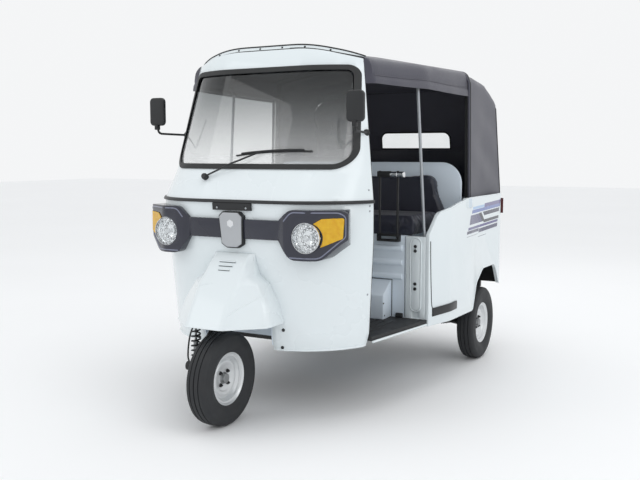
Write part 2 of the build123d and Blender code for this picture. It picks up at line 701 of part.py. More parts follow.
# ---------------------------------------------------------------- seats and interior
def make_seats():
    cushion = block(-BENCH_HALF, BENCH_HALF, TUB_FRONT + 10, BENCH_REAR,
                    BULKHEAD_TOP + SEAT_GAP, BENCH_TOP)
    top = cushion.edges().group_by(Axis.Z)[-1]
    keep("bench_cushion", fillet(top, 25))
    back = outline([(BENCH_HALF, BULKHEAD_TOP + 60), (BENCH_HALF - BACK_LEAN, BENCH_BACK_TOP),
                    (BACK_LEAN - BENCH_HALF, BENCH_BACK_TOP), (-BENCH_HALF, BULKHEAD_TOP + 60)],
                   [10, 75, 75, 10])
    keep("bench_backrest", along_y(back, BENCH_REAR + SEAT_GAP, BENCH_BACK_REAR - SEAT_GAP))
    panel_half = 668.0
    panel = outline([(panel_half, BULKHEAD_TOP), (panel_half, 1275),
                     (-panel_half, 1275), (-panel_half, BULKHEAD_TOP)], [5, 130, 130, 5])
    keep("seat_back_panel", along_y(panel, BENCH_BACK_REAR, BENCH_BACK_REAR + 20))

    base = block(-DRIVER_BASE_HALF, DRIVER_BASE_HALF, DRIVER_BASE_FRONT, DRIVER_BASE_REAR,
                 FLOOR_TOP, DRIVER_BASE_TOP)
    base += block(-DRIVER_BASE_HALF + 30, DRIVER_BASE_HALF - 30, DRIVER_BASE_REAR,
                  DRIVER_BASE_REAR + 10, DRIVER_BASE_TOP - 60, DRIVER_BACK_TOP - 60)
    keep("driver_seat_base", base)
    seat = block(-DRIVER_SEAT_HALF, DRIVER_SEAT_HALF, DRIVER_BASE_FRONT - 20, DRIVER_BASE_REAR,
                 DRIVER_BASE_TOP + SEAT_GAP, DRIVER_BASE_TOP + DRIVER_CUSHION)
    keep("driver_cushion", fillet(seat.edges().group_by(Axis.Z)[-1], 22))
    cushion_top = DRIVER_BASE_TOP + DRIVER_CUSHION + SEAT_GAP
    rest = outline([(DRIVER_SEAT_HALF, cushion_top), (DRIVER_SEAT_HALF - 15, DRIVER_BACK_TOP),
                    (15 - DRIVER_SEAT_HALF, DRIVER_BACK_TOP), (-DRIVER_SEAT_HALF, cushion_top)],
                   [10, 60, 60, 10])
    keep("driver_backrest", along_y(rest, DRIVER_BASE_REAR - DRIVER_BACK_THICK,
                                    DRIVER_BASE_REAR - SEAT_GAP))

    step = outline([(STEP_BOX_FRONT, FLOOR_TOP), (STEP_BOX_FRONT, STEP_BOX_FRONT_TOP),
                    (TUB_FRONT, STEP_BOX_REAR_TOP), (TUB_FRONT, FLOOR_TOP)], 0)
    keep("step_box", along_x(step, -STEP_BOX_HALF, STEP_BOX_HALF))


def make_grab_frames():
    x0, x1 = GRAB_RODS
    uprights = rod((x0, GRAB_Y, BULKHEAD_TOP + 12), (x0, GRAB_Y, GRAB_TOP), GRAB_RADIUS)
    uprights += rod((x1, GRAB_Y, BULKHEAD_TOP + 12), (x1, GRAB_Y, GRAB_TOP), GRAB_RADIUS)
    foot = block(x0 - 12, x1 + 12, GRAB_Y - 12, TUB_FRONT - SEAT_GAP, BULKHEAD_TOP - 30,
                 BULKHEAD_TOP + 12)
    head = block(x0 - 16, x1 + 10, GRAB_Y - 12, GRAB_Y + 12, GRAB_TOP - 36, GRAB_TOP - 4)
    keep("grab_frames", pair(uprights + foot + head))


# ---------------------------------------------------------------- roof
def arch_wire(y, half, edge, shoulder, crown, inset, lower):
    """One upright roof section: straight sides, round shoulders and a shallow crown."""
    lean = ROOF_LEAN / (shoulder - edge)
    half_points = [
        (half - inset + lean * lower, edge - lower),
        (half - ROOF_LEAN - inset, shoulder - inset),
        (half * CROWN_SHARE, crown - inset),
    ]
    points = [(x, y, z) for x, z in mirrored(half_points)]
    return FilletPolyline(*points, radius=[0, 60, 900, 900, 60, 0], close=True).wire()


def roof_solid(sections, inset=0.0, lower=0.0):
    wires = [arch_wire(*row, inset, lower) for row in sections]
    return Solid.make_loft(wires, ruled=True)


def slab(y0, y1, z0=1000.0, z1=2000.0):
    """Everything between two cross planes."""
    return block(-900, 900, y0, y1, z0, z1)


def hood_solid(inset=0.0, lower=0.0):
    """The rear hood's form with its sloping back."""
    run = math.atan2(HOOD_BASE_REAR - HOOD_TOP_REAR, HOOD_TOP_REAR_Z - HOOD_BOTTOM)
    shift = inset / math.cos(run)
    slope = math.tan(run)
    top_y = HOOD_TOP_REAR - shift - slope * (2000 - HOOD_TOP_REAR_Z)
    base_y = HOOD_BASE_REAR - shift + slope * (HOOD_BOTTOM - 900)
    room = outline([(1500, 900), (base_y, 900), (top_y, 2000), (1500, 2000)], 0)
    return roof_solid(HOOD_SECTIONS, inset, lower) & along_x(room, -900, 900)


def roof_front(back):
    """The roof's plan, rounded in front like the cab's, moved backwards by back."""
    half = COWL_CORNER + COWL_SECTIONS[-1][1]
    plan = outline([(-half, ROOF_FRONT_END + 100), (-half, CANOPY_FRONT), (half, CANOPY_FRONT),
                    (half, ROOF_FRONT_END + 100)], [0, COWL_CORNER, COWL_CORNER, 0])
    return Pos(0, back, 1000) * extrude(plan, 1000)


def make_roof():
    outer = roof_solid(CANOPY_SECTIONS) & slab(CANOPY_FRONT, HOOD_FRONT - SEAT_GAP)
    inner = roof_solid(CANOPY_SECTIONS, CANOPY_WALL, 40)
    pillar_room = block(SIDE_CLOTH_X, 800, 0, SIDE_CLOTH_FRONT, 1500, SIDE_CLOTH_TOP)
    front = roof_front(0)
    ahead = slab(0, ROOF_FRONT_END, SIDE_CLOTH_TOP) - front
    for piece in (pillar_room, mirror(pillar_room, about=Plane.YZ), ahead):
        outer -= piece
    keep("canopy_main", outer - inner - OUTER_CLEAR)

    strip = roof_solid(CANOPY_SECTIONS, -STRIP_THICK) - roof_solid(CANOPY_SECTIONS, -SEAT_GAP, 40)
    strip &= front & slab(0, ROOF_FRONT_END, SIDE_CLOTH_TOP)
    keep("roof_clamp_strip", strip - roof_front(STRIP_WIDTH))

    gap = CANOPY_WALL + SEAT_GAP
    hoops = roof_solid(CANOPY_SECTIONS, gap) - roof_solid(CANOPY_SECTIONS, gap + RAIL_TUBE, 60)
    low = CANOPY_EDGE + 8
    frame = hoops & slab(POST_Y - RAIL_TUBE / 2, POST_Y + RAIL_TUBE / 2, low)
    frame += hoops & slab(FRONT_BOW, FRONT_BOW + RAIL_TUBE, low)
    frame += hoops & slab(FRONT_BOW, HOOD_FRONT + RAIL_TUBE, low, low + RAIL_TUBE)
    gap = HOOD_WALL + SEAT_GAP
    arch = hood_solid(gap, 160) - hood_solid(gap + RAIL_TUBE, 300)
    frame += arch & slab(HOOD_FRONT, HOOD_FRONT + RAIL_TUBE, 880)
    reach = CANOPY_SECTIONS[-1][1] - 60
    link = block(reach, HOOD_SECTIONS[0][1] - gap - ROOF_LEAN, HOOD_FRONT, HOOD_FRONT + RAIL_TUBE,
                 low, low + RAIL_TUBE)
    foot = block(HOOD_SECTIONS[0][1] - gap - RAIL_TUBE, TUB_HALF - TUB_WALL, HOOD_FRONT,
                 HOOD_FRONT + RAIL_TUBE, 880, 940)
    tab = block(POST_TOP_X - 12, CANOPY_SECTIONS[0][1] + 105, POST_Y - RAIL_TUBE / 2,
                POST_Y + RAIL_TUBE / 2, low, low + RAIL_TUBE)
    for piece in (link, foot, tab):
        frame += piece + mirror(piece, about=Plane.YZ)
    keep("canopy_frame", frame)

    lean = Vector(POST_TOP_X - POST_FOOT_X, 0, low - BULKHEAD_TOP).normalized() * 20
    foot, head = Vector(POST_FOOT_X, POST_Y, BULKHEAD_TOP), Vector(POST_TOP_X, POST_Y, low)
    post = rod(tuple(foot - lean), tuple(head + lean), POST_RADIUS)
    post &= slab(0, 2000, BULKHEAD_TOP + SEAT_GAP, low - SEAT_GAP)
    keep("side_posts", pair(post))

    window_face = outline(
        [(REAR_WINDOW_LEFT, REAR_WINDOW_BOTTOM), (REAR_WINDOW_LEFT, REAR_WINDOW_TOP),
         (REAR_WINDOW_RIGHT, REAR_WINDOW_TOP), (REAR_WINDOW_RIGHT, REAR_WINDOW_BOTTOM)],
        [6, 48, 48, 6])
    window = along_y(window_face, 2000, 2500)
    hood = (hood_solid() & slab(HOOD_FRONT - HOOD_LAP, 2500)) - hood_solid(HOOD_WALL, 40)
    rim = tub_outline(-40) - tub_outline(TUB_WALL + SEAT_GAP)
    tub_room = extrude(Pos(0, 0, 900) * rim, TUB_TOP + SEAT_GAP - 900)
    keep("canopy_rear", hood - window - tub_room)
    keep("rear_window", window & (hood_solid(2) - hood_solid(5)))


# ---------------------------------------------------------------- wheels
def turned(face_points, radii, x, y, side):
    """Revolve an (axial, radial) outline about a wheel's axle; axial grows outwards."""
    face = Plane(origin=(0, 0, 0), x_dir=(1, 0, 0), z_dir=(0, -1, 0)) * outline(face_points, radii)
    solid = revolve(face, Axis.X, 360)
    if side == RIGHT:
        solid = mirror(solid, about=Plane.YZ)
    return Pos(x, y, TYRE_RADIUS) * solid


def make_wheel(name, x, y, side):
    half_tyre, half_rim = TYRE_WIDTH / 2, RIM_WIDTH / 2
    bead, crown = RIM_RADIUS, TYRE_RADIUS
    wall = half_rim - RIM_FLANGE_THICK
    half = [(wall, bead), (wall, bead + RIM_FLANGE), (half_rim + 2, bead + RIM_FLANGE + 2),
            (half_tyre - 3, bead + 28), (half_tyre, bead + 50), (half_tyre - 2, crown - 28),
            (half_tyre - 9, crown - 10), (half_tyre - 22, crown - 1), (0, crown)]
    tyre = half + [(-axial, radial) for axial, radial in reversed(half[:-1])]
    keep(name + "_tyre", turned(tyre, 0, x, y, side))

    well = bead - RIM_THICK - 25
    face_x = 8.0
    rim = [(half_rim, bead + RIM_FLANGE), (wall, bead + RIM_FLANGE), (wall, bead),
           (20, bead - RIM_THICK), (14, well + 5), (-20, well + 5), (-26, bead - RIM_THICK),
           (-wall, bead), (-wall, bead + RIM_FLANGE), (-half_rim, bead + RIM_FLANGE),
           (-half_rim, bead - RIM_THICK), (-30, bead - 2 * RIM_THICK), (-24, well),
           (face_x - 6, well), (face_x - 6, DRUM_RADIUS), (-DRUM_INNER, DRUM_RADIUS),
           (-DRUM_INNER, WHEEL_BORE), (face_x + 6, WHEEL_BORE), (face_x + 6, 2),
           (face_x + 20, 2), (face_x + 20, HUB_CAP_RADIUS), (face_x, HUB_CAP_RADIUS),
           (face_x, 62), (face_x + 6, 76), (face_x + 6, well),
           (24, well), (30, bead - 2 * RIM_THICK), (half_rim, bead - RIM_THICK)]
    wheel = turned(rim, 0, x, y, side)
    for turn in range(LUG_COUNT):
        angle = 2 * math.pi * (turn + 0.5) / LUG_COUNT
        lug_y = y + LUG_CIRCLE * math.cos(angle)
        lug_z = TYRE_RADIUS + LUG_CIRCLE * math.sin(angle)
        x0, x1 = x + side * (face_x - 2), x + side * (face_x + 12)
        wheel += rod((x0, lug_y, lug_z), (x1, lug_y, lug_z), LUG_RADIUS)
    keep(name + "_rim", wheel)


def stub_axle(x, y, side, inner):
    """Pin, back plate and brake cylinder side of one wheel, reaching inwards to inner."""
    plate_x = x - side * (DRUM_INNER + RUNNING_GAP)
    tip = x + side * (8.0 + 4.0)
    axle = rod((plate_x, y, TYRE_RADIUS), (tip, y, TYRE_RADIUS), WHEEL_BORE - AXLE_CLEARANCE)
    axle += rod((plate_x, y, TYRE_RADIUS), (plate_x - side * BACK_PLATE_THICK, y, TYRE_RADIUS),
                BACK_PLATE_RADIUS)
    axle += rod((plate_x, y, TYRE_RADIUS), (inner, y, TYRE_RADIUS), WHEEL_BORE + 6)
    return axle


# ---------------------------------------------------------------- steering
def make_steering():
    crown = steering_plane(COLUMN_BOTTOM)
    top = steering_plane(HANDLEBAR_Z)
    path = [tuple(top), tuple(crown), (-FORK_X, crown.Y, crown.Z),
            (-FORK_X, LINK_PIVOT_Y, LINK_PIVOT_Z)]
    fork = tube_path(path, [38, 30], COLUMN_RADIUS)
    boss_end = -FORK_X - COLUMN_RADIUS - 2
    fork += rod((-FORK_X + COLUMN_RADIUS, LINK_PIVOT_Y, LINK_PIVOT_Z),
                (boss_end, LINK_PIVOT_Y, LINK_PIVOT_Z), PIVOT_BOSS)
    spring_x = boss_end - FRONT_SPRING_RADIUS - 3
    spring_y = FRONT_SPRING_Y
    reach = FRONT_SPRING_RADIUS
    fork += block(spring_x - reach, -FORK_X, spring_y - reach, crown.Y, FRONT_SPRING_TOP,
                  FRONT_SPRING_TOP + 14)
    spring = rod((spring_x, spring_y, FRONT_SPRING_BOTTOM), (spring_x, spring_y, FRONT_SPRING_TOP),
                 FRONT_SPRING_RADIUS)
    keep("front_spring", spring)
    bar = [(-HANDLEBAR_HALF, top.Y + HANDLEBAR_SWEEP, top.Z + HANDLEBAR_RISE),
           (-HANDLEBAR_HALF * 0.4, top.Y, top.Z), (HANDLEBAR_HALF * 0.4, top.Y, top.Z),
           (HANDLEBAR_HALF, top.Y + HANDLEBAR_SWEEP, top.Z + HANDLEBAR_RISE)]
    handlebar = tube_path(bar, [60, 60], HANDLEBAR_RADIUS)
    handlebar += rod(tuple(steering_plane(HANDLEBAR_Z - 22)), tuple(steering_plane(HANDLEBAR_Z + 14)),
                     COLUMN_RADIUS + 5)
    socket = rod(tuple(steering_plane(HANDLEBAR_Z - 60)), tuple(steering_plane(HANDLEBAR_Z)),
                 COLUMN_RADIUS)
    keep("handlebar", handlebar - socket)
    keep("steering_fork", fork)

    grips = []
    for side in (LEFT, RIGHT):
        inner = Vector(side * HANDLEBAR_HALF * 0.4, top.Y, top.Z)
        tip = Vector(side * HANDLEBAR_HALF, top.Y + HANDLEBAR_SWEEP, top.Z + HANDLEBAR_RISE)
        along = (tip - inner).normalized()
        start = tip - along * GRIP_LENGTH
        grip = rod(tuple(start), tuple(tip + along * 8), GRIP_RADIUS)
        grips.append(grip - rod(tuple(start - along), tuple(tip), HANDLEBAR_RADIUS))
    keep("handlebar_grips", grips)

    x0, x1 = boss_end - LINK_THICK, boss_end
    link = rod((x0, LINK_PIVOT_Y, LINK_PIVOT_Z), (x1, LINK_PIVOT_Y, LINK_PIVOT_Z), PIVOT_BOSS)
    link += rod((x0, 0, TYRE_RADIUS), (x1, 0, TYRE_RADIUS), PIVOT_BOSS + 6)
    run = Vector(0, -LINK_PIVOT_Y, TYRE_RADIUS - LINK_PIVOT_Z)
    turn = math.degrees(math.atan2(run.Z, run.Y))
    bar = Pos((x0 + x1) / 2, LINK_PIVOT_Y / 2, (TYRE_RADIUS + LINK_PIVOT_Z) / 2) * (
        Rot(turn, 0, 0) * Box(LINK_THICK, run.length, 34))
    link += bar + stub_axle(0, 0, LEFT, x1)
    link += block(spring_x - reach, x1, spring_y - reach, spring_y + reach,
                  FRONT_SPRING_BOTTOM - 12, FRONT_SPRING_BOTTOM)
    keep("front_link", link)


# ---------------------------------------------------------------- rear running gear
def make_rear_axle():
    rear = WHEELBASE
    arm_face = outline(
        [(ARM_PIVOT_Y - 30, ARM_PIVOT_Z - 22), (rear, TYRE_RADIUS - 30), (rear + 36, TYRE_RADIUS),
         (rear + 20, TYRE_RADIUS + 32), (ARM_PIVOT_Y - 30, ARM_PIVOT_Z + 22)], 8)
    arm = along_x(arm_face, ARM_X, ARM_X + ARM_WIDTH)
    arm += rod((RAIL_X + RAIL_WIDTH / 2, ARM_PIVOT_Y, ARM_PIVOT_Z), (ARM_X, ARM_PIVOT_Y, ARM_PIVOT_Z), 20)
    arm += stub_axle(REAR_TRACK / 2, rear, LEFT, ARM_X + ARM_WIDTH)
    arm += rod((ENGINE_HALF, rear, TYRE_RADIUS), (ARM_X, rear, TYRE_RADIUS), DRIVE_SHAFT_RADIUS)
    seat_z = spring_seat_z()
    arm += block(SPRING_X - SPRING_RADIUS, ARM_X, SPRING_Y - 40, SPRING_Y + 40, seat_z - 10, seat_z)
    keep("rear_arms", pair(arm))
    spring = rod((SPRING_X, SPRING_Y, seat_z), (SPRING_X, SPRING_Y, SPRING_TOP), SPRING_RADIUS)
    keep("rear_springs", pair(spring))


def spring_seat_z():
    """Top of the spring seat, level with the arm's top at the spring."""
    share = (SPRING_Y - ARM_PIVOT_Y) / (WHEELBASE - ARM_PIVOT_Y)
    return ARM_PIVOT_Z + share * (TYRE_RADIUS - ARM_PIVOT_Z)


def make_engine():
    engine = block(-ENGINE_HALF, ENGINE_HALF, ENGINE_FRONT, ENGINE_REAR, ENGINE_BOTTOM, ENGINE_TOP)
    keep("engine_block", engine)
    muffler = rod((-MUFFLER_HALF, MUFFLER_Y, MUFFLER_Z), (MUFFLER_HALF, MUFFLER_Y, MUFFLER_Z),
                  MUFFLER_RADIUS)
    muffler += rod((-90, ENGINE_REAR, MUFFLER_Z), (-90, MUFFLER_Y, MUFFLER_Z), 18)
    muffler += rod((150, MUFFLER_Y, MUFFLER_Z - 20), (150, MUFFLER_Y + 190, MUFFLER_Z - 20), 16)
    keep("exhaust", muffler)


def make_bumper():
    back = WHEELBASE + REAR_OVERHANG
    bar = block(-BUMPER_HALF, BUMPER_HALF, back - BUMPER_THICK, back, BUMPER_BOTTOM, BUMPER_TOP)
    top = FLOOR_TOP - FLOOR_THICK
    for x in (-RAIL_X, RAIL_X):
        x0, x1 = x - RAIL_WIDTH / 2, x + RAIL_WIDTH / 2
        bar += block(x0, x1, TUB_REAR - 80, back - BUMPER_THICK + 5, top - RAIL_HEIGHT + 10, top)
        bar += block(x0, x1, back - BUMPER_THICK, back, top - RAIL_HEIGHT + 10, BUMPER_BOTTOM)
    hole_z = (BUMPER_BOTTOM + BUMPER_TOP) / 2
    for x in (-BUMPER_HOLE_SPACING / 2, BUMPER_HOLE_SPACING / 2):
        bar -= rod((x, back - 60, hole_z), (x, back + 20, hole_z), BUMPER_HOLE_RADIUS)
    keep("rear_bumper", bar)


# ---------------------------------------------------------------- mirrors and wiper
def make_mirrors():
    face = Rectangle(MIRROR_WIDTH, MIRROR_HEIGHT)
    face = fillet(face.vertices(), 26)
    y0 = MIRROR_Y - MIRROR_THICK / 2
    head = along_y(Pos(MIRROR_X, MIRROR_Z) * face, y0, y0 + MIRROR_THICK)
    arm = tube_path(
        [(MIRROR_X, MIRROR_Y, MIRROR_Z - MIRROR_HEIGHT / 2 + 8),
         (MIRROR_X, MIRROR_Y - 6, MIRROR_FOOT[2] + 4), MIRROR_FOOT], [24], MIRROR_ARM)
    keep("mirrors", pair(head + (arm - OUTER_CLEAR)))


WIPER_PIVOT = (-216.0, 1206.0)
WIPER_JOINT = (-20.0, 1330.0)
WIPER_TIPS = ((-66.0, 1324.0), (355.0, 1347.0))


def strip_face(start, end, width):
    """A straight band between two points of the front view."""
    (x0, z0), (x1, z1) = start, end
    angle = math.degrees(math.atan2(z1 - z0, x1 - x0))
    band = Rectangle(math.hypot(x1 - x0, z1 - z0), width)
    return Pos((x0 + x1) / 2, (z0 + z1) / 2) * (Rot(0, 0, angle) * band)


def make_wiper():
    blade = along_y(strip_face(*WIPER_TIPS, 10), -200, 600)
    blade &= cowl_solid(inset=-12) - cowl_solid(inset=GLASS_INSET - SEAT_GAP, rear=20)
    arm = along_y(strip_face(WIPER_PIVOT, WIPER_JOINT, 12), -200, 600)
    arm &= cowl_solid(inset=-22) - cowl_solid(inset=-12)
    boss = along_y(Pos(*WIPER_PIVOT) * Circle(15), -200, 600)
    boss &= cowl_solid(inset=-24) - OUTER_CLEAR
    keep("wiper", blade + arm + boss)


# ---------------------------------------------------------------- the whole vehicle
make_cab()
make_lamps()
make_mudguard()
make_floor()
make_wheelhouse()
make_chassis()
make_tub()
make_bulkhead()
make_wheel_wells()
make_seats()
make_grab_frames()
make_roof()
make_wheel("front_wheel", 0, 0, LEFT)
for side_name, side_sign in SIDES:
    make_wheel("rear_wheel_" + side_name, side_sign * REAR_TRACK / 2, WHEELBASE, side_sign)
make_steering()
make_rear_axle()
make_engine()
make_bumper()
make_mirrors()
make_wiper()
export()
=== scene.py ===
import bpy
import json
import math
from mathutils import Matrix, Vector
from mathutils.bvhtree import BVHTree

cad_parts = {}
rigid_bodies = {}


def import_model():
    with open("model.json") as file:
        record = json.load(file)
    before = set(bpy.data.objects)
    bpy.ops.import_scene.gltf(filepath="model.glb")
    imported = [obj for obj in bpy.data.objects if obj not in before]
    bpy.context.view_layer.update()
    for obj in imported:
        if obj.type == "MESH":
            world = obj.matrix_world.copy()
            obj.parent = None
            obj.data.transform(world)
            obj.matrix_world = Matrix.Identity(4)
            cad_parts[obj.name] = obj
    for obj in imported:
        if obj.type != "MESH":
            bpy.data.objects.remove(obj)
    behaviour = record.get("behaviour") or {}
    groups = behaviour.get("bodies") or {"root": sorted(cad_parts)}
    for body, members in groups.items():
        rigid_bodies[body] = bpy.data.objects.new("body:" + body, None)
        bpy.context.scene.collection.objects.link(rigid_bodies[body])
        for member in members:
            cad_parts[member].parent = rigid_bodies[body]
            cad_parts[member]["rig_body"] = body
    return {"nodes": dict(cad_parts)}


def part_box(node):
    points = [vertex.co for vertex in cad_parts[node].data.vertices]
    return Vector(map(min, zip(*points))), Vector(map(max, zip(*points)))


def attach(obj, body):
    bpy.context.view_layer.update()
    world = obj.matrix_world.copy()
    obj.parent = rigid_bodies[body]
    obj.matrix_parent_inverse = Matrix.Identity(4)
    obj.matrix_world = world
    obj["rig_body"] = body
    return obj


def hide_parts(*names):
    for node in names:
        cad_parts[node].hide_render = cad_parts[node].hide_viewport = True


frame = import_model()
for spare in [o for o in bpy.data.objects if o.type != "EMPTY" and "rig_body" not in o]:
    bpy.data.objects.remove(spare)
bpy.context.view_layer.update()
NODES = frame["nodes"]

# ---- places and sizes, metres
FRONT_AXLE_Y = -1.06875
WHEELBASE = 1.92
REAR_AXLE_Y = FRONT_AXLE_Y + WHEELBASE
AXLE_Z = 0.2325
REAR_WHEEL_X = 0.666
HEADLAMP_X, HEADLAMP_Y, HEADLAMP_Z = 0.411, FRONT_AXLE_Y + 0.104, 0.93
WELD = 0.00005  # points closer than this are one point
CLOTH = 0.002  # thickness of the roof cloth and of the band that clamps it
# the ways in which lines are sent to find the body's surface
BACK, AHEAD, INWARD, DOWN = (Vector(v) for v in ((0, 1, 0), (0, -1, 0), (-1, 0, 0), (0, 0, -1)))
BESIDE, BEHIND, ABOVE = 1.2, 2.0, 2.2  # where such lines start on the left, behind and above
MIRROR_X = Matrix.Scale(-1, 4, (1, 0, 0))


def near(y):
    """A distance behind the front axle as a row coordinate."""
    return FRONT_AXLE_Y + y


# ---- modelling helpers
def deselect():
    if bpy.context.object and bpy.context.object.mode != "OBJECT":
        bpy.ops.object.mode_set(mode="OBJECT")
    bpy.ops.object.select_all(action="DESELECT")


def only(piece):
    deselect()
    piece.select_set(True)
    bpy.context.view_layer.objects.active = piece


def settle(piece):
    """Puts the piece's place into its mesh and leaves its object at the origin."""
    only(piece)
    bpy.ops.object.transform_apply(location=True, rotation=True, scale=True)
    return piece


def edit(piece, *steps, kind="VERT", choice="SELECT"):
    """Runs edit-mode operators, each with its settings, on the whole mesh."""
    only(piece)
    bpy.ops.object.mode_set(mode="EDIT")
    bpy.ops.mesh.select_mode(type=kind)
    bpy.ops.mesh.select_all(action=choice)
    for operator, settings in steps:
        operator(**settings)
    bpy.ops.object.mode_set(mode="OBJECT")
    return piece


EVERYTHING = (bpy.ops.mesh.select_all, {"action": "SELECT"})
OUTSIDE_OUT = (bpy.ops.mesh.normals_make_consistent, {"inside": False})
WELDED = (bpy.ops.mesh.remove_doubles, {"threshold": WELD})


def pushed(step):
    """The edit step that extrudes what is selected along a vector."""
    return bpy.ops.mesh.extrude_region_move, {"TRANSFORM_OT_translate": {"value": step}}


def draw(name, points, face=False):
    """A line drawn point by point by extruding one vertex, closed to a face if asked."""
    deselect()
    bpy.ops.mesh.primitive_plane_add(size=0.01, location=points[0])
    piece = bpy.context.object
    piece.name = name
    steps = [pushed(Vector(there) - Vector(here)) for here, there in zip(points, points[1:])]
    edit(piece, (bpy.ops.mesh.merge, {"type": "CENTER"}), *steps,
         *([EVERYTHING, (bpy.ops.mesh.edge_face_add, {})] if face else []))
    return settle(piece)


def remove_faces(piece, unwanted):
    """Deletes the faces whose middle passes a test."""
    edit(piece, kind="FACE", choice="DESELECT")
    for face in piece.data.polygons:
        face.select = unwanted(face.center)
    bpy.ops.object.mode_set(mode="EDIT")
    bpy.ops.mesh.delete(type="FACE")
    bpy.ops.object.mode_set(mode="OBJECT")


def modify(piece, kind, **settings):
    """Adds a modifier and applies it."""
    only(piece)
    made = piece.modifiers.new(kind.title(), kind)
    for key, value in settings.items():
        setattr(made, key, value)
    bpy.ops.object.modifier_apply(modifier=made.name)
    return piece


def smooth(piece, angle=35):
    only(piece)
    bpy.ops.object.shade_smooth_by_angle(angle=math.radians(angle))
    return piece


def softened(piece, bevel, segments=2):
    """Rounds a piece's edges, if bevel is above 0, and shades it smoothly."""
    if bevel:
        modify(piece, "BEVEL", width=bevel, segments=segments, limit_method="ANGLE")
    return smooth(piece)


def turned(name, profile, centre, axis="X", steps=64):
    """A profile of (along the axis, radius) points spun round the axis through centre."""
    along = {"X": Vector((1, 0, 0)), "Y": Vector((0, 1, 0)), "Z": Vector((0, 0, 1))}[axis]
    out = Vector((0, 1, 0)) if axis == "Z" else Vector((0, 0, 1))
    hair = 0.00002  # keeps the ends of the profile off the axis until they are welded
    points = [Vector(centre) + along * a + out * max(r, hair) for a, r in profile]
    spin = {"steps": steps, "angle": math.tau, "center": centre, "axis": along}
    return smooth(edit(draw(name, points), (bpy.ops.mesh.spin, spin), EVERYTHING, WELDED,
                       OUTSIDE_OUT))


def plate(name, points, thickness, bevel, segments=2):
    """A flat outline pushed out along thickness, a vector, with softened edges."""
    piece = edit(draw(name, points, face=True), pushed(thickness), EVERYTHING, OUTSIDE_OUT)
    return softened(piece, bevel, segments)


def bar(name, points, radius, sides=3, bend=0):
    """A round bar along a line whose corners are rounded by bend."""
    piece = draw(name, points)
    if bend and len(points) > 2:
        edit(piece, (bpy.ops.mesh.bevel, {"offset": bend, "segments": 6, "affect": "VERTICES"}))
    only(piece)
    bpy.ops.object.convert(target="CURVE")
    curve = bpy.context.object.data
    curve.bevel_depth, curve.bevel_resolution, curve.use_fill_caps = radius, sides, True
    bpy.ops.object.convert(target="MESH")
    bpy.context.object.name = name
    return smooth(bpy.context.object, 50)


def box(name, low, high, bevel=0.002, segments=2):
    """A block by its two corners with rounded edges."""
    deselect()
    middle = [(a + b) / 2 for a, b in zip(low, high)]
    bpy.ops.mesh.primitive_cube_add(size=1, location=middle)
    piece = bpy.context.object
    piece.name = name
    piece.scale = [b - a for a, b in zip(low, high)]
    return softened(settle(piece), bevel, segments)


def linked(name, mesh):
    """A new object of the scene with its own copy of a mesh."""
    made = bpy.data.objects.new(name, mesh.copy())
    bpy.context.scene.collection.objects.link(made)
    return made


def copy_of(piece, name, matrix):
    """A copy with its own mesh, moved by a matrix."""
    made = piece.copy()
    made.data = piece.data.copy()
    made.name = name
    bpy.context.scene.collection.objects.link(made)
    made.data.transform(matrix)
    if matrix.determinant() < 0:
        made.data.flip_normals()
    return made


def joined(name, *pieces):
    only(pieces[0])
    for piece in pieces[1:]:
        piece.select_set(True)
    bpy.ops.object.join()
    bpy.context.object.name = name
    return bpy.context.object


def both_sides(piece):
    """The left-hand piece joined to its mirror image."""
    return joined(piece.name, piece, copy_of(piece, piece.name + "_right", MIRROR_X))


def tree_of(node):
    """A search tree over a CAD node's surface, to set small pieces on it."""
    mesh = NODES[node].data
    return BVHTree.FromPolygons([v.co for v in mesh.vertices], [p.vertices for p in mesh.polygons])


def corners_of(node):
    """The low and the high corner of a CAD node's box."""
    return [Vector(corner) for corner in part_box(node)]


def struck(tree, origin, way):
    """Where a line from origin first meets a surface, or None."""
    return tree.ray_cast(Vector(origin), way)[0]


def seen(tree, origin, way):
    """Where a line from origin meets a surface, with the surface's outward direction."""
    point, normal = tree.ray_cast(Vector(origin), way)[:2]
    return point, -normal if normal.dot(way) > 0 else normal


def facing(point, out):
    """The move that takes a piece from the origin to a point and turns its X axis to out."""
    return Matrix.Translation(point) @ Vector(out).to_track_quat("X", "Z").to_matrix().to_4x4()


def mirrored(places):
    """(point, outward direction) places with their mirror images."""
    return places + [((-p[0], p[1], p[2]), (-n[0], n[1], n[2])) for p, n in places]


def paint(piece, finish):
    piece.data.materials.clear()
    piece.data.materials.append(finish)


def dress(piece, finish, slot=None, node=None, body="body"):
    """Gives a piece its material and body, and hides the CAD node that it stands for; slot is not
    used.
    """
    paint(piece, finish)
    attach(piece, body)
    if node:
        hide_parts(node)


# ---- materials
def colour(code):
    """An sRGB hex colour as linear light."""
    parts = [int(code[i : i + 2], 16) / 255 for i in (1, 3, 5)]
    return [c / 12.92 if c <= 0.04045 else ((c + 0.055) / 1.055) ** 2.4 for c in parts] + [1.0]


def add(tree, kind, inputs=None, **settings):
    """Adds a node, sets its properties, and fills or links its inputs."""
    made = tree.nodes.new("ShaderNode" + kind)
    for key, value in settings.items():
        setattr(made, key, value)
    for key, value in (inputs or {}).items():
        if isinstance(value, bpy.types.NodeSocket):
            tree.links.new(value, made.inputs[key])
        else:
            made.inputs[key].default_value = value
    return made


def maths(tree, operation, *values):
    """The result of a Math node."""
    return add(tree, "Math", dict(enumerate(values)), operation=operation).outputs[0]


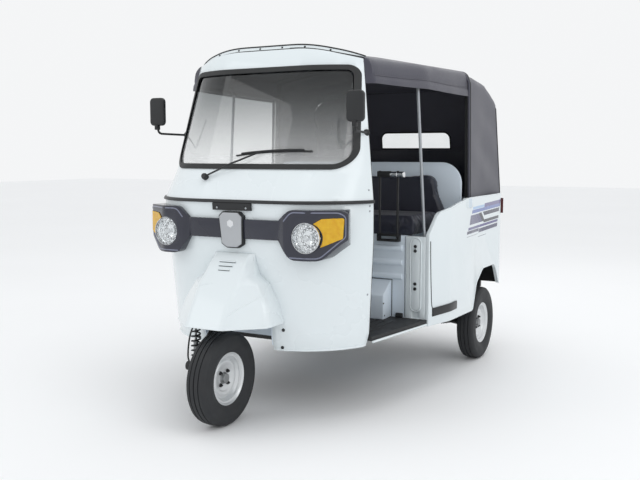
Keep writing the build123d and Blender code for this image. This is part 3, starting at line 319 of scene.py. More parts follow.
def material(name, low, high, scale, rough, **shader):
    """A finish with a colour drifting from low to high and roughness over its range."""
    made = bpy.data.materials.new(name)
    made.use_nodes = True
    tree = made.node_tree
    tree.nodes.clear()
    place = add(tree, "TexCoord").outputs["Object"]
    drift = add(tree, "TexNoise", {"Vector": place, "Scale": scale, "Detail": 5.0}).outputs[0]
    mix = add(tree, "Mix", {0: drift, 6: colour(low), 7: colour(high)}, data_type="RGBA")
    span = add(tree, "MapRange", {0: drift, 1: 0.3, 2: 0.7, 3: rough[0], 4: rough[1]})
    inputs = {"Base Color": mix.outputs[2], "Roughness": span.outputs[0]}
    inputs.update((key.replace("_", " "), value) for key, value in shader.items())
    surface = add(tree, "BsdfPrincipled", inputs)
    add(tree, "OutputMaterial", {"Surface": surface.outputs[0]})
    return made, tree, place, surface, mix.outputs[2]


def bump(tree, surface, height, strength, distance):
    """Relief in metres on a material's surface."""
    relief = add(tree, "Bump", {"Height": height, "Strength": strength, "Distance": distance})
    tree.links.new(relief.outputs[0], surface.inputs["Normal"])


def fine_grain(tree, place, surface, scale, depth):
    """A fine even grain on a material's surface."""
    grain = add(tree, "TexNoise", {"Vector": place, "Scale": scale, "Detail": 3.0})
    bump(tree, surface, grain.outputs[0], 0.6, depth)


def grained(name, low, high, scale, rough, grain, depth, **shader):
    """A finish with a fine even grain; grain is the size of one cell in metres."""
    made, tree, place, surface = material(name, low, high, scale, rough, **shader)[:4]
    fine_grain(tree, place, surface, 1 / grain, depth)
    return made


# two-pack enamel sprayed over pressed steel: cool white, even, with faint orange peel
WHITE = ("#DCE5E8", "#E4EBEE", 1.5, (0.2, 0.3))
LACQUERED = {"Coat_Weight": 0.5, "Coat_Roughness": 0.08}
ENAMEL = grained("white_enamel", *WHITE, 0.004, 0.00006, **LACQUERED)
# the same enamel inside, painted darker and bluer as painted shade, and less polished
SHADED_ENAMEL = grained("inner_enamel", "#D0DCE7", "#DAE4ED", 1.5, (0.32, 0.45), 0.003, 0.00008)
# powder coat on frame members: satin black with fine texture
POWDER = grained("powder_coat_black", "#141517", "#1D1E20", 8.0, (0.42, 0.6), 0.0015, 0.0001)
# injection-moulded ABS with a spark-eroded grain
BLACK_ABS = grained("moulded_abs_black", "#17181A", "#202225", 6.0, (0.38, 0.52), 0.0012, 0.0001)
# painted ABS fascia: dark blue grey, glossy
FASCIA = grained("painted_fascia", "#1C1E2B", "#262939", 3.0, (0.16, 0.26), 0.004, 0.00005,
                 Coat_Weight=0.3, Coat_Roughness=0.12)
# the fascia's moulded lip, coloured lighter than the fascia as a painted highlight along the pod's
# edge
FASCIA_LIP_HIGHLIGHT = grained("fascia_lip", "#6C7084", "#7C8094", 3.0, (0.14, 0.22), 0.004, 0.00003,
                     **LACQUERED)
# extruded EPDM rubber: matt black-brown
EPDM = grained("epdm_rubber", "#1B1C1D", "#262829", 9.0, (0.5, 0.68), 0.002, 0.0001)
# vulcanised tyre rubber: matt and unevenly dusty
TYRE = grained("tyre_rubber", "#222325", "#2E3033", 14.0, (0.62, 0.8), 0.0016, 0.00015)
# silver wheel lacquer over pressed steel
SILVER = grained("wheel_lacquer", "#D0D3D5", "#E0E2E3", 10.0, (0.28, 0.4), 0.0012, 0.00004,
                 Metallic=0.5)
# chromed or polished steel
CHROME = grained("polished_steel", "#D5D7D9", "#E4E6E8", 10.0, (0.06, 0.14), 0.003, 0.00003,
                 Metallic=1.0)
# zinc-plated steel tube and screws
ZINC = grained("zinc_plate", "#9A9FA4", "#B4B8BC", 18.0, (0.28, 0.42), 0.002, 0.00005,
               Metallic=0.9)
# as-cast aluminium: pale, open grain
CAST = grained("cast_aluminium", "#8D8F90", "#A5A7A8", 12.0, (0.5, 0.68), 0.0018, 0.0002,
               Metallic=0.85)
# satin silver paint on the nose emblem
SATIN = grained("satin_silver", "#ABAEB2", "#BABDC0", 5.0, (0.26, 0.36), 0.002, 0.00004,
                Metallic=0.7)
# ribbed PVC floor covering
MAT_PVC = grained("floor_pvc", "#1C1D1F", "#2A2B2D", 7.0, (0.55, 0.7), 0.003, 0.0002)
# amber acrylic lens
AMBER = grained("amber_acrylic", "#E29C00", "#FFD838", 48.0, (0.08, 0.16), 0.011, 0.0012,
                Transmission_Weight=0.25, IOR=1.49)
# red acrylic lens
RED = grained("red_acrylic", "#4A0A0E", "#5E0E12", 30.0, (0.1, 0.2), 0.01, 0.001,
              Transmission_Weight=0.2, IOR=1.49)
# clear polycarbonate lamp lens
CLEAR = grained("clear_polycarbonate", "#F6F9FA", "#FFFFFF", 4.0, (0.0, 0.04), 0.01, 0.00002,
                Transmission_Weight=1.0, IOR=1.585)
# vacuum-metallised reflector
MIRROR = grained("metallised_reflector", "#E6E8EA", "#F4F5F6", 20.0, (0.04, 0.1), 0.006, 0.0001,
                 Metallic=1.0)


def windscreen_glass():
    """Laminated glass, tinted darker towards the top, with a painted pale reflection that grows
    towards the sill.
    """
    made, tree, place, surface, base = material(
        "laminated_glass", "#F2F5F5", "#FFFFFF", 2.0, (0.0, 0.03),
        Transmission_Weight=1.0, IOR=1.5)
    height = add(tree, "SeparateXYZ", {0: place}).outputs[2]
    fade = add(tree, "MapRange", {0: height, 1: 1.22, 2: 1.74}, interpolation_type="SMOOTHSTEP")
    tint = add(tree, "Mix", {0: fade.outputs[0], 6: base, 7: colour("#6E7475")}, data_type="RGBA")
    tree.links.new(tint.outputs[2], surface.inputs["Base Color"])
    # lower transmission near the sill lets the pale base colour show: a painted reflection
    clear = add(tree, "MapRange", {0: height, 1: 1.24, 2: 1.7, 3: 0.68, 4: 0.98})
    tree.links.new(clear.outputs[0], surface.inputs["Transmission Weight"])
    return made


GLASS = windscreen_glass()
# flexible clear PVC window film: slightly hazy and wavy
FILM = grained("clear_pvc_film", "#EEF2F3", "#FFFFFF", 6.0, (0.03, 0.12), 0.05, 0.0008,
               Transmission_Weight=1.0, IOR=1.53)


def woven(name, low, high, thread, rough, depth, **shader):
    """Coated cloth: threads crossing at a spacing in metres under a plastic skin."""
    made, tree, place, surface = material(name, low, high, 5.0, rough, **shader)[:4]
    waves = [maths(tree, "SINE", maths(tree, "MULTIPLY", part, math.tau / thread))
             for part in add(tree, "SeparateXYZ", {0: place}).outputs]
    total = maths(tree, "ADD", maths(tree, "ADD", waves[0], waves[1]), waves[2])
    bump(tree, surface, total, 0.5, depth)
    return made


# PVC-coated polyester canopy cloth, drawn at 4 mm thread so that the weave shows
CANVAS = woven("coated_canvas", "#383844", "#42424F", 0.004, (0.5, 0.66), 0.0002,
               Sheen_Weight=0.25, Sheen_Roughness=0.5)


def leathercloth():
    """Navy vinyl seat cover with a pebbled leather grain of about 3 mm."""
    made, tree, place, surface = material(
        "navy_leathercloth", "#20222E", "#2B2D3B", 6.0, (0.38, 0.52), Sheen_Weight=0.1)[:4]
    cells = add(tree, "TexVoronoi", {"Vector": place, "Scale": 330.0}, feature="DISTANCE_TO_EDGE")
    bump(tree, surface, cells.outputs[0], 0.5, 0.0005)
    return made


LEATHERCLOTH = leathercloth()
# stripes: start and end behind the axle, low and high edge, forward lean of the ends, colour
STRIPES = (
    (1.6, 1.9, 0.992, 1.008, 0.35, "#A9C4E4"), (1.592, 2.176, 0.969, 0.99, 0.35, "#6C7CB4"),
    (1.83, 2.182, 0.99, 1.014, 0.35, "#67618F"), (1.575, 1.7, 0.903, 0.96, 0.35, "#565577"),
    (1.65, 1.79, 0.903, 0.96, -1.2, "#565577"), (1.775, 1.83, 0.903, 0.962, -1.2, "#222534"),
    (1.86, 2.1, 0.938, 0.963, -1.2, "#2A2D45"), (2.05, 2.174, 0.938, 0.963, 0.1, "#2A2D45"),
    (1.8, 2.1, 0.893, 0.912, -1.2, "#2B2F3C"), (2.05, 2.17, 0.893, 0.912, 0.1, "#2B2F3C"),
    (1.56, 2.164, 0.872, 0.888, 0.35, "#4C4780"), (1.545, 1.765, 0.85, 0.868, 0.35, "#343656"),
    (1.77, 2.166, 0.84, 0.864, 0.35, "#34355A"), (1.55, 1.76, 0.833, 0.836, 0.35, "#8F98A0"),
    (1.77, 1.935, 0.813, 0.817, 0.35, "#8F98A0"),
)


def striped_enamel():
    """White enamel with a generic printed stripe film behind the doorway."""
    made, tree, place, surface, last = material("enamel_with_stripes", *WHITE, **LACQUERED)
    parts = add(tree, "SeparateXYZ", {0: place})
    along, height = parts.outputs[1], parts.outputs[2]
    middle, slope, lean_from = near(1.86), -0.025, 0.93
    level = maths(tree, "MULTIPLY_ADD", maths(tree, "SUBTRACT", along, middle), slope, height)
    above = maths(tree, "SUBTRACT", height, lean_from)
    for start, end, low, high, lean, code in STRIPES:
        slid = maths(tree, "MULTIPLY_ADD", above, -lean, along)
        inside = maths(tree, "GREATER_THAN", slid, near(start))
        for value, edge, way in ((slid, near(end), "LESS_THAN"), (level, low, "GREATER_THAN"),
                                 (level, high, "LESS_THAN")):
            inside = maths(tree, "MULTIPLY", inside, maths(tree, way, value, edge))
        inputs = {0: inside, 6: last, 7: colour(code)}
        last = add(tree, "Mix", inputs, data_type="RGBA").outputs[2]
    tree.links.new(last, surface.inputs["Base Color"])
    fine_grain(tree, place, surface, 250.0, 0.00006)
    return made


STRIPED = striped_enamel()

# finishes of the CAD nodes that are shown as they are
for finish, nodes in (
    # the inner enamel on the wheelhouse is the white enamel darkened: painted shade
    (MAT_PVC, "floor_pan"), (SHADED_ENAMEL, "wheelhouse"), (GLASS, "windscreen_glass"),
    (BLACK_ABS, "plate_bracket"), (AMBER, "indicators"), (ENAMEL, "engine_lid"),
    (RED, "tail_lamps"), (FILM, "rear_window"), (EPDM, "handlebar_grips"),
    (CAST, "engine_block"), (ZINC, "handlebar exhaust"),
    (POWDER, "chassis_frame wheel_wells driver_seat_base canopy_frame steering_fork front_link"
             " rear_arms"),
):
    for node in nodes.split():
        paint(NODES[node], finish)

# ---- softened pressings
# name, node, edge radius, finish and, where it isn't the finish's own, slot
for name, node, width, *dressing in (
    ("cab_shell", "front_cowl", 0.003, ENAMEL),
    ("mudguard_shell", "front_mudguard", 0.002, ENAMEL),
    ("lamp_fascia", "lamp_band", 0.01, FASCIA),
    ("nose_badge", "nose_emblem", 0.005, SATIN),
    ("screen_seal", "windscreen_seal", 0.0022, EPDM),
    ("tub_side_left", "body_side_left", 0.005, STRIPED),
    ("tub_side_right", "body_side_right", 0.005, STRIPED),
    ("tub_back", "rear_panel", 0.004, ENAMEL),
    # the inner enamel on the bulkhead, seat back and foot box is the white enamel darkened:
    # painted shade
    ("bulkhead_sheet", "bulkhead", 0.003, SHADED_ENAMEL),
    ("jamb_pair", "door_jambs", 0.004, ENAMEL),
    ("seat_back_sheet", "seat_back_panel", 0.006, SHADED_ENAMEL),
    ("foot_box", "step_box", 0.006, SHADED_ENAMEL),
    ("bumper_bar", "rear_bumper", 0.004, POWDER, "chassis_paint"),
    ("guard_pair", "side_guards", 0.003, BLACK_ABS),
    ("dash_shelf", "dashboard", 0.005, BLACK_ABS),
    ("waist_strip", "waist_trim", 0.003, BLACK_ABS),
):
    piece = linked(name, NODES[node].data)
    level_faces = {"angle_limit": math.radians(0.5)}
    edit(piece, WELDED, (bpy.ops.mesh.dissolve_limited, level_faces))
    modify(piece, "BEVEL", width=width, segments=2, limit_method="ANGLE",
           angle_limit=math.radians(35), use_clamp_overlap=True)
    dress(smooth(piece, 30), *dressing, node=node)


# ---- wheels
# profiles: across the wheel, radius. The tyre's tread has ribs and grooves
TYRE_PROFILE = (
    (0.0375, 0.1275), (0.0425, 0.13), (0.045, 0.138), (0.05, 0.148), (0.0545, 0.16),
    (0.0568, 0.178), (0.0562, 0.192), (0.0545, 0.204), (0.055, 0.2075), (0.053, 0.214),
    (0.049, 0.2215), (0.044, 0.2268), (0.04, 0.229), (0.027, 0.231), (0.0264, 0.2262),
    (0.0226, 0.2262), (0.022, 0.2316), (0.003, 0.2325), (0.0024, 0.2268), (0.0, 0.2268),
)
DRUM_PROFILE = (
    (-0.056, 0.08), (-0.056, 0.076), (-0.02, 0.076), (0.002, 0.074), (0.008, 0.062),
    (0.0085, 0.03), (0.012, 0.0255), (0.026, 0.0235), (0.0275, 0.0215), (0.028, 0.0),
)
DISC_PROFILE = (
    (0.0085, 0.03), (0.01, 0.056), (0.015, 0.066), (0.019, 0.074), (0.018, 0.086),
    (0.012, 0.093), (0.011, 0.0985), (0.02, 0.104), (0.029, 0.112), (0.03, 0.118),
    (0.036, 0.124), (0.037, 0.133), (0.04, 0.1365), (0.0425, 0.134), (0.0418, 0.128),
    (0.034, 0.12), (0.033, 0.112), (0.026, 0.108), (-0.026, 0.108), (-0.033, 0.12),
    (-0.0418, 0.128), (-0.0425, 0.134), (-0.04, 0.1365), (-0.037, 0.133), (-0.036, 0.124),
    (-0.03, 0.102), (0.0, 0.1), (0.004, 0.09), (-0.056, 0.08),
)
NUT_PROFILE = ((0.007, 0.0), (0.007, 0.0105), (0.0165, 0.0095), (0.017, 0.0055),
               (0.0235, 0.005), (0.024, 0.0))
NUT_COUNT, NUT_CIRCLE = 4, 0.042
FRONT_HUB = (0, FRONT_AXLE_Y, AXLE_Z)
TO_REAR_LEFT = Matrix.Translation((REAR_WHEEL_X, REAR_AXLE_Y - FRONT_AXLE_Y, 0))
TO_REAR_RIGHT = Matrix.Translation((-REAR_WHEEL_X, REAR_AXLE_Y - FRONT_AXLE_Y, 0))


def make_tyres():
    profile = list(TYRE_PROFILE)
    profile += [(-across, radius) for across, radius in reversed(TYRE_PROFILE[:-1])]
    front = turned("front_tyre", profile, FRONT_HUB, steps=96)
    for name, move in (("rear_left", TO_REAR_LEFT), ("rear_right", TO_REAR_RIGHT)):
        body = name.replace("rear", "rear_wheel")
        dress(copy_of(front, name + "_tyre", move), TYRE, node=body + "_tyre", body=body)
    dress(front, TYRE, node="front_wheel_tyre", body="front_wheel")


def make_rims():
    drum = turned("brake_drum", DRUM_PROFILE, FRONT_HUB)
    disc = turned("wheel_disc", DISC_PROFILE, FRONT_HUB, steps=72)
    nuts = []
    for i in range(NUT_COUNT):
        angle = math.tau * (i + 0.5) / NUT_COUNT
        place = (0, FRONT_AXLE_Y + NUT_CIRCLE * math.cos(angle),
                 AXLE_Z + NUT_CIRCLE * math.sin(angle))
        nuts.append(smooth(turned(f"wheel_nut_{i}", NUT_PROFILE, place, steps=6), 20))
    nuts = joined("front_wheel_nuts", *nuts)
    for name, body, move in (("front", "front_wheel", Matrix.Identity(4)),
                             ("rear_left", "rear_wheel_left", TO_REAR_LEFT),
                             ("rear_right", "rear_wheel_right", TO_REAR_RIGHT @ MIRROR_X)):
        dress(copy_of(drum, name + "_drum", move), CAST, "wheel_silver", body=body)
        dress(copy_of(disc, name + "_disc", move), SILVER, node=body + "_rim", body=body)
        dress(copy_of(nuts, name + "_nuts", move), POWDER, body=body)
    for spare in (drum, disc, nuts):
        bpy.data.objects.remove(spare)


make_tyres()
make_rims()

# ---- lamps
# name, profile from the lamp's face backwards, steps, finish
LAMP_PARTS = (
    ("bowl", ((0.01, 0.0715), (0.018, 0.069), (0.03, 0.06), (0.041, 0.045), (0.049, 0.028),
              (0.054, 0.012), (0.055, 0.0)), 28, MIRROR),
    ("lens", ((0.0075, 0.0718), (0.0015, 0.07), (-0.0045, 0.06), (-0.0085, 0.045),
              (-0.011, 0.025), (-0.012, 0.0), (-0.01, 0.0), (-0.009, 0.025), (-0.0065, 0.044),
              (-0.0028, 0.0585), (0.003, 0.068), (0.0075, 0.069), (0.0075, 0.0718)), 64, CLEAR),
    ("bezel", ((0.01, 0.0745), (0.0, 0.0745), (-0.0025, 0.073), (-0.002, 0.0712),
               (0.008, 0.0712), (0.01, 0.0745)), 64, CHROME),
    ("bulb", ((0.054, 0.011), (0.04, 0.011), (0.036, 0.0085), (0.022, 0.0085), (0.015, 0.006),
              (0.012, 0.0)), 24, CLEAR),
    ("cap", ((0.012, 0.015), (0.006, 0.0145), (0.002, 0.011), (0.001, 0.0), (0.004, 0.0),
             (0.0055, 0.0105), (0.0085, 0.0125), (0.012, 0.013), (0.012, 0.015)), 32, CHROME),
)
# facets of the multi-reflector bowl: distance from its axis, depth, size
FACET_RINGS, FACET_COUNT = ((0.058, 0.022, 0.01), (0.04, 0.038, 0.008)), 14


def make_headlamps():
    for side, x in (("left", HEADLAMP_X), ("right", -HEADLAMP_X)):
        for part, profile, steps, finish in LAMP_PARTS:
            centre = (x, HEADLAMP_Y, HEADLAMP_Z)
            piece = turned(f"headlamp_{part}_{side}", profile, centre, "Y", steps=steps)
            if part == "bowl":
                dress(smooth(piece, 5), finish, node="headlamps")
            else:
                dress(piece, finish)
        facets = []
        for i in range(FACET_COUNT):
            angle = math.tau * i / FACET_COUNT
            for radius, depth, size in FACET_RINGS:
                deselect()
                bpy.ops.mesh.primitive_uv_sphere_add(
                    segments=10, ring_count=6, radius=size,
                    location=(x + radius * math.cos(angle), HEADLAMP_Y + depth,
                              HEADLAMP_Z + radius * math.sin(angle)))
                facets.append(settle(bpy.context.object))
        facets = joined("headlamp_facets_" + side, *facets)
        edit(facets, (bpy.ops.transform.resize, {"value": (1, 0.55, 1)}))
        edit(facets, (bpy.ops.transform.translate, {"value": (0, 0.004, 0)}))
        dress(smooth(facets, 60), MIRROR)


make_headlamps()


# ---- roof cloth
def rounded_line(points, radii, steps=8):
    """A line in a plane with its corners rounded by arcs."""
    line = [Vector(points[0])]
    for before, here, after, radius in zip(points, points[1:], points[2:], radii):
        here = Vector(here)
        a, b = (Vector(before) - here).normalized(), (Vector(after) - here).normalized()
        half = math.acos(max(-1, min(1, a.dot(b)))) / 2
        back = radius / math.tan(half)
        centre = here + (a + b).normalized() * (radius / math.sin(half))
        u, w = here + a * back - centre, here + b * back - centre
        sweep = math.acos(max(-1, min(1, u.normalized().dot(w.normalized()))))
        for i in range(steps + 1):
            t = i / steps
            mixed = u * math.sin((1 - t) * sweep) + w * math.sin(t * sweep)
            line.append(centre + mixed / math.sin(sweep))
    line.append(Vector(points[-1]))
    return line


def spaced(line, count):
    """Evenly spaced points along a line."""
    lengths = [0.0]
    for a, b in zip(line, line[1:]):
        lengths.append(lengths[-1] + (b - a).length)
    found, i = [], 0
    for k in range(count):
        want = lengths[-1] * k / (count - 1)
        while i < len(line) - 2 and lengths[i + 1] < want:
            i += 1
        run = lengths[i + 1] - lengths[i] or 1.0
        found.append(line[i].lerp(line[i + 1], (want - lengths[i]) / run))
    return found


def roof_row(table, y, count):
    """Points over the roof from the left hem to the right one, at a distance behind the axle."""
    for (y0, *low), (y1, *high) in zip(table, table[1:]):
        if y <= y1 or (y1, *high) == table[-1]:
            break
    t = (y - y0) / (y1 - y0)
    half, edge, shoulder, crown = [a + (b - a) * t for a, b in zip(low, high)]
    side = [(half, edge), (half - 0.014, shoulder), (half * 0.45, crown)]
    points = side + [(-x, z) for x, z in reversed(side)]
    return spaced(rounded_line(points, [0.06, 0.9, 0.9, 0.06], 10), count)


# distance behind the axle, half width, hem height, shoulder height, crown height
CANOPY_TABLE = (
    (0.35, 0.518, 1.678, 1.798, 1.864),
    (1.05, 0.656, 1.678, 1.806, 1.876),
    (1.668, 0.692, 1.672, 1.818, 1.893),
)
HOOD_HEM = 1.03
HOOD_TABLE = (
    (1.56, 0.7025, HOOD_HEM, 1.792, 1.872),
    (1.76, 0.7025, HOOD_HEM, 1.796, 1.874),
    (1.98, 0.7025, HOOD_HEM, 1.776, 1.84),
    (2.13, 0.7025, HOOD_HEM, 1.718, 1.775),
    (2.45, 0.7025, HOOD_HEM, 1.56, 1.61),
)


def grid_sheet(name, rows):
    """A grid of cloth whose points are given row by row."""
    deselect()
    across, along = len(rows[0]), len(rows)
    bpy.ops.mesh.primitive_grid_add(x_subdivisions=across - 1, y_subdivisions=along - 1, size=1)
    piece = bpy.context.object
    piece.name = name
    order = sorted(piece.data.vertices, key=lambda v: (round(v.co.y, 4), round(v.co.x, 4)))
    for vertex, point in zip(order, [point for row in rows for point in row]):
        vertex.co = point
    return edit(piece, OUTSIDE_OUT)


def belly(y, bows):
    """0 on a bow and 1 midway between two bows."""
    for a, b in zip(bows, bows[1:]):
        if a <= y <= b:
            return math.sin(math.pi * (y - a) / (b - a))
    return 0.0


def share(value):
    """A value kept between 0 and 1."""
    return max(0.0, min(1.0, value))


def outwards(piece):
    """Turns a sheet so that its faces look away from the middle of the roof."""
    middle = Vector((0, near(1.4), 1.3))
    if sum((p.center - middle).dot(p.normal) * p.area for p in piece.data.polygons) < 0:
        piece.data.flip_normals()


def roof_line(x, back):
    """How far behind the axle the roof's curved front lies at x, moved back by back."""
    flat, radius = 0.2, 0.45  # half of the straight middle, and the curve of the corners
    reach = max(0.0, min(abs(x) - flat, radius - 0.001))
    return radius + back + radius - math.sqrt(radius ** 2 - reach ** 2)


def door_edge(cab, z):
    """The cab shell's rearmost outer point on the left at a height."""
    y, foremost, innermost = near(0.64), near(0.3), 0.4
    while y > foremost:
        hit = struck(cab, (BESIDE, y, z), INWARD)
        if hit is not None and hit.x > innermost:
            return hit
        y -= 0.002
    return None


HEM_CREASE = 1.722  # height of the stitched crease above the canopy's hem
CLOTH_FRONT, LAST_BOW = 0.452, 1.666


def make_canopy():
    bows = (0.455, 0.582, 1.017, LAST_BOW)
    count, steps, flap_rows = 97, 60, 4
    depth = LAST_BOW - CLOTH_FRONT
    cab = tree_of("front_cowl")
    stations = [roof_row(CANOPY_TABLE, CLOTH_FRONT + depth * i / steps, count)
                for i in range(steps + 1)]
    rows = []
    for i in range(steps + 1):
        row = []
        for k in range(count):
            start = min(roof_line(stations[0][k].x, 0.002), 0.545)
            y = start + (LAST_BOW - start) * i / steps
            at = (y - CLOTH_FRONT) / depth * steps
            low = min(int(at), steps - 1)
            x, z = stations[low][k].lerp(stations[low + 1][k], at - low)
            reach = abs(x) / stations[low][0].x
            sag = belly(y, bows)
            drop = 0.005 * sag * (1 - reach * 0.6)
            pull = 0.0035 * sag * share((z - 1.7) / 0.06) * reach
            # the hem: a doubled strip below a stitched crease
            crease = math.exp(-(((z - HEM_CREASE) / 0.0045) ** 2)) * 0.0045
            hem = 0.003 if z < HEM_CREASE - 0.006 else 0.0
            wave = 0.0012 * math.sin(y * 31 + x * 4) * max(0.0, (1.76 - z) / 0.09)
            side = math.copysign(1, x) if reach > 0.9 and z < 1.8 else 0
            row.append(Vector((x + side * (hem + wave * 0.8 - crease - pull), near(y), z - drop)))
        rows.append(row)
    # storm flaps: in front of the first bow the side cloth turns in to the cab's pillar
    flaps = []
    for i in range(flap_rows):
        row = []
        for corner in rows[0]:
            turn_in = share((1.815 - corner.z) / 0.025) if abs(corner.x) > 0.5 else 0.0
            edge = door_edge(cab, min(corner.z, 1.77)) if turn_in > 0 else None
            away = Vector((0, -0.0005 * (flap_rows - i), 0))
            if edge is not None:
                inner = Vector((math.copysign(abs(edge.x) - 0.004, corner.x), edge.y + 0.004,
                                corner.z))
                away += (inner - corner) * (turn_in * (1 - i / flap_rows))
            row.append(corner + away)
        flaps.append(row)
    piece = grid_sheet("canopy_sheet", flaps + rows)
    outwards(piece)
    seams = []
    for ends in (slice(0, count // 3), slice(2 * count // 3, count)):
        line = [min(row[ends], key=lambda p: abs(p.z - HEM_CREASE)) for row in rows[1::3]]
        seams.append(bar("hem_seam", [p + Vector((math.copysign(0.0025, p.x), 0, 0))
                                      for p in line], 0.0022, sides=2))
    dress(joined("hem_seam", *seams), CANVAS)
    modify(piece, "SOLIDIFY", thickness=CLOTH, offset=-1)
    dress(smooth(piece, 50), CANVAS, node="canopy_main")


def back_plane(z):
    """Distance behind the axle of the hood's sloping back at a height."""
    low, high = 2.296, 2.182  # at the hem and at a height of 1.7
    return low - (low - high) * (z - HOOD_HEM) / (1.7 - HOOD_HEM)


# rear window: left and right edges, low and high edges, radius of the upper corners
WINDOW_LEFT, WINDOW_RIGHT, WINDOW_LOW, WINDOW_HIGH = 0.366, -0.152, 1.362, 1.476
WINDOW_CORNER = 0.048


def in_window(p):
    """Whether a point of the hood's back lies in the window, whose upper corners are round."""
    inset = min(p.x - WINDOW_RIGHT, WINDOW_LEFT - p.x)
    below = WINDOW_HIGH - p.z
    if inset < 0 or below < 0 or p.z < WINDOW_LOW:
        return False
    if inset < WINDOW_CORNER and below < WINDOW_CORNER:
        return math.hypot(WINDOW_CORNER - inset, WINDOW_CORNER - below) < WINDOW_CORNER
    return True


def between(low, high, parts):
    """The starts of equal parts of a length."""
    return [low + (high - low) * i / parts for i in range(parts)]


def hood_end(k, count):
    """How far behind the axle thread k of the hood meets the sloping back."""
    low, high = 1.9, 2.29
    for _ in range(30):
        middle = (low + high) / 2
        x, z = roof_row(HOOD_TABLE, middle, count)[k]
        if middle < back_plane(z):
            low = middle
        else:
            high = middle
    return low


def hood_back(edge_line):
    """The back panel: rows of heights and columns bunched at the window's edges."""
    top = max(z for x, z in edge_line) - CLOTH
    heights = between(HOOD_HEM, WINDOW_LOW, 12) + between(WINDOW_LOW, WINDOW_HIGH, 12)
    heights += between(WINDOW_HIGH, top, 11) + [top]
    centre, half_window = (WINDOW_LEFT + WINDOW_RIGHT) / 2, (WINDOW_LEFT - WINDOW_RIGHT) / 2
    back = []
    for z in heights:
        half = max([x for x, height in edge_line if height >= z] or [0.001])
        corner = min(1.0, half / 0.42)
        low, high = (centre - half_window) * corner, (centre + half_window) * corner
        columns = between(-half, low, 8) + between(low, high, 40) + between(high, half, 6) + [half]
        row = []
        for x in columns:
            rise = math.sin(math.pi * (z - HOOD_HEM) / (top - HOOD_HEM))
            bulge = 0.01 * (1 - (x / half) ** 2) * rise
            row.append(Vector((x, near(back_plane(z)) - bulge * 0.4, z)))
        back.append(row)
    return back


def make_hood():
    count, front, steps = 109, 1.66, 34
    ends = [hood_end(k, count) for k in range(count)]
    rows = []
    for i in range(steps + 1):
        t = i / steps
        sag = math.sin(math.pi * t)
        row = []
        for k in range(count):
            y = front + (ends[k] - front) * i / steps
            x, z = roof_row(HOOD_TABLE, y, count)[k]
            top = share((z - 1.55) / 0.2)
            side = math.copysign(1, x) * (1 - top)
            fold = 0.004 * math.sin(z * 23 + y * 9) * sag * (1 - top)
            row.append(Vector((x - side * (0.006 * sag - fold), near(y), z - 0.006 * sag * top)))
        rows.append(row)
    body = grid_sheet("hood_sheet", rows)
    outwards(body)
    panel = grid_sheet("hood_back", hood_back([(p.x, p.z) for p in rows[-1] if p.x >= 0]))
    outwards(panel)
    remove_faces(panel, in_window)
    cloth = joined("hood_sheet", body, panel)
    edit(cloth, (bpy.ops.mesh.remove_doubles, {"threshold": 0.004}))
    modify(cloth, "SOLIDIFY", thickness=CLOTH, offset=-1)
    dress(smooth(cloth, 50), CANVAS, node="canopy_rear")
    # welt along the seam between the hood's sides and its back, and round the window
    dress(bar("hood_welt", [tuple(p) for p in rows[-1][::3]], 0.004), EPDM)
    ring = [(WINDOW_RIGHT, WINDOW_LOW), (WINDOW_LEFT, WINDOW_LOW)]
    for side, start in ((WINDOW_LEFT - WINDOW_CORNER, 0), (WINDOW_RIGHT + WINDOW_CORNER, 1)):
        for i in range(7):
            angle = math.pi / 2 * (start + i / 6)
            ring.append((side + WINDOW_CORNER * math.cos(angle),
                         WINDOW_HIGH - WINDOW_CORNER + WINDOW_CORNER * math.sin(angle)))
    ring = [(x, near(back_plane(z)) - 0.006, z) for x, z in ring + ring[:1]]
    dress(bar("window_welt", ring, 0.006), EPDM)


make_canopy()
make_hood()

# ---- cushions
STUFFING = {"use_pressure": True, "uniform_pressure_force": 4, "quality": 4,
            "tension_stiffness": 12}
BLOW_FRAMES = 20


def cushion(name, node, shrink, swell, fill):
    """A stuffed pad blown up as cloth from a slightly smaller block of the node's shape."""
    low, high = corners_of(node)
    middle = (low + high) / 2
    piece = edit(linked(name, NODES[node].data), WELDED)
    for vertex in piece.data.vertices:
        for i in range(3):
            reach = (high[i] - low[i]) / 2
            vertex.co[i] = middle[i] + (vertex.co[i] - middle[i]) * (reach - shrink) / reach
    modify(piece, "REMESH", mode="VOXEL", voxel_size=0.006)
    rest = [v.co.copy() for v in piece.data.vertices]
    only(piece)
    cloth = piece.modifiers.new("Stuffing", "CLOTH")
    for key, value in STUFFING.items():
        setattr(cloth.settings, key, value)
    cloth.settings.effector_weights.gravity = 0
    cloth.collision_settings.use_collision = False
    for step in range(1, BLOW_FRAMES + 1):
        bpy.context.scene.frame_set(step)
    depsgraph = bpy.context.evaluated_depsgraph_get()
    blown = [v.co.copy() for v in piece.evaluated_get(depsgraph).data.vertices]
    piece.modifiers.remove(cloth)
    bpy.context.scene.frame_set(1)
    # flat where it rests: never below the block that carries it
    floor = (low.x - 0.006, low.y, low.z)
    ceiling = (high.x + 0.006, high.y + 0.004, high.z + 0.02)
    for vertex, start, end in zip(piece.data.vertices, rest, blown):
        move = end - start
        if move.length > swell:
            move *= swell / move.length
        vertex.co = [max(a, min(b, c)) for a, b, c in zip(floor, ceiling, start + move)]
    dress(smooth(piece, 60), LEATHERCLOTH, node=node)


# name, node, shrink before blowing, most that a point may move, fill
for row in (
    ("bench_seat_pad", "bench_cushion", 0.008, 0.022, 0.8),
    ("bench_back_pad", "bench_backrest", 0.008, 0.022, 0.8),
    ("driver_seat_pad", "driver_cushion", 0.007, 0.018, 0.8),
    ("driver_back_pad", "driver_backrest", 0.007, 0.018, 0.8),
):
    cushion(*row)


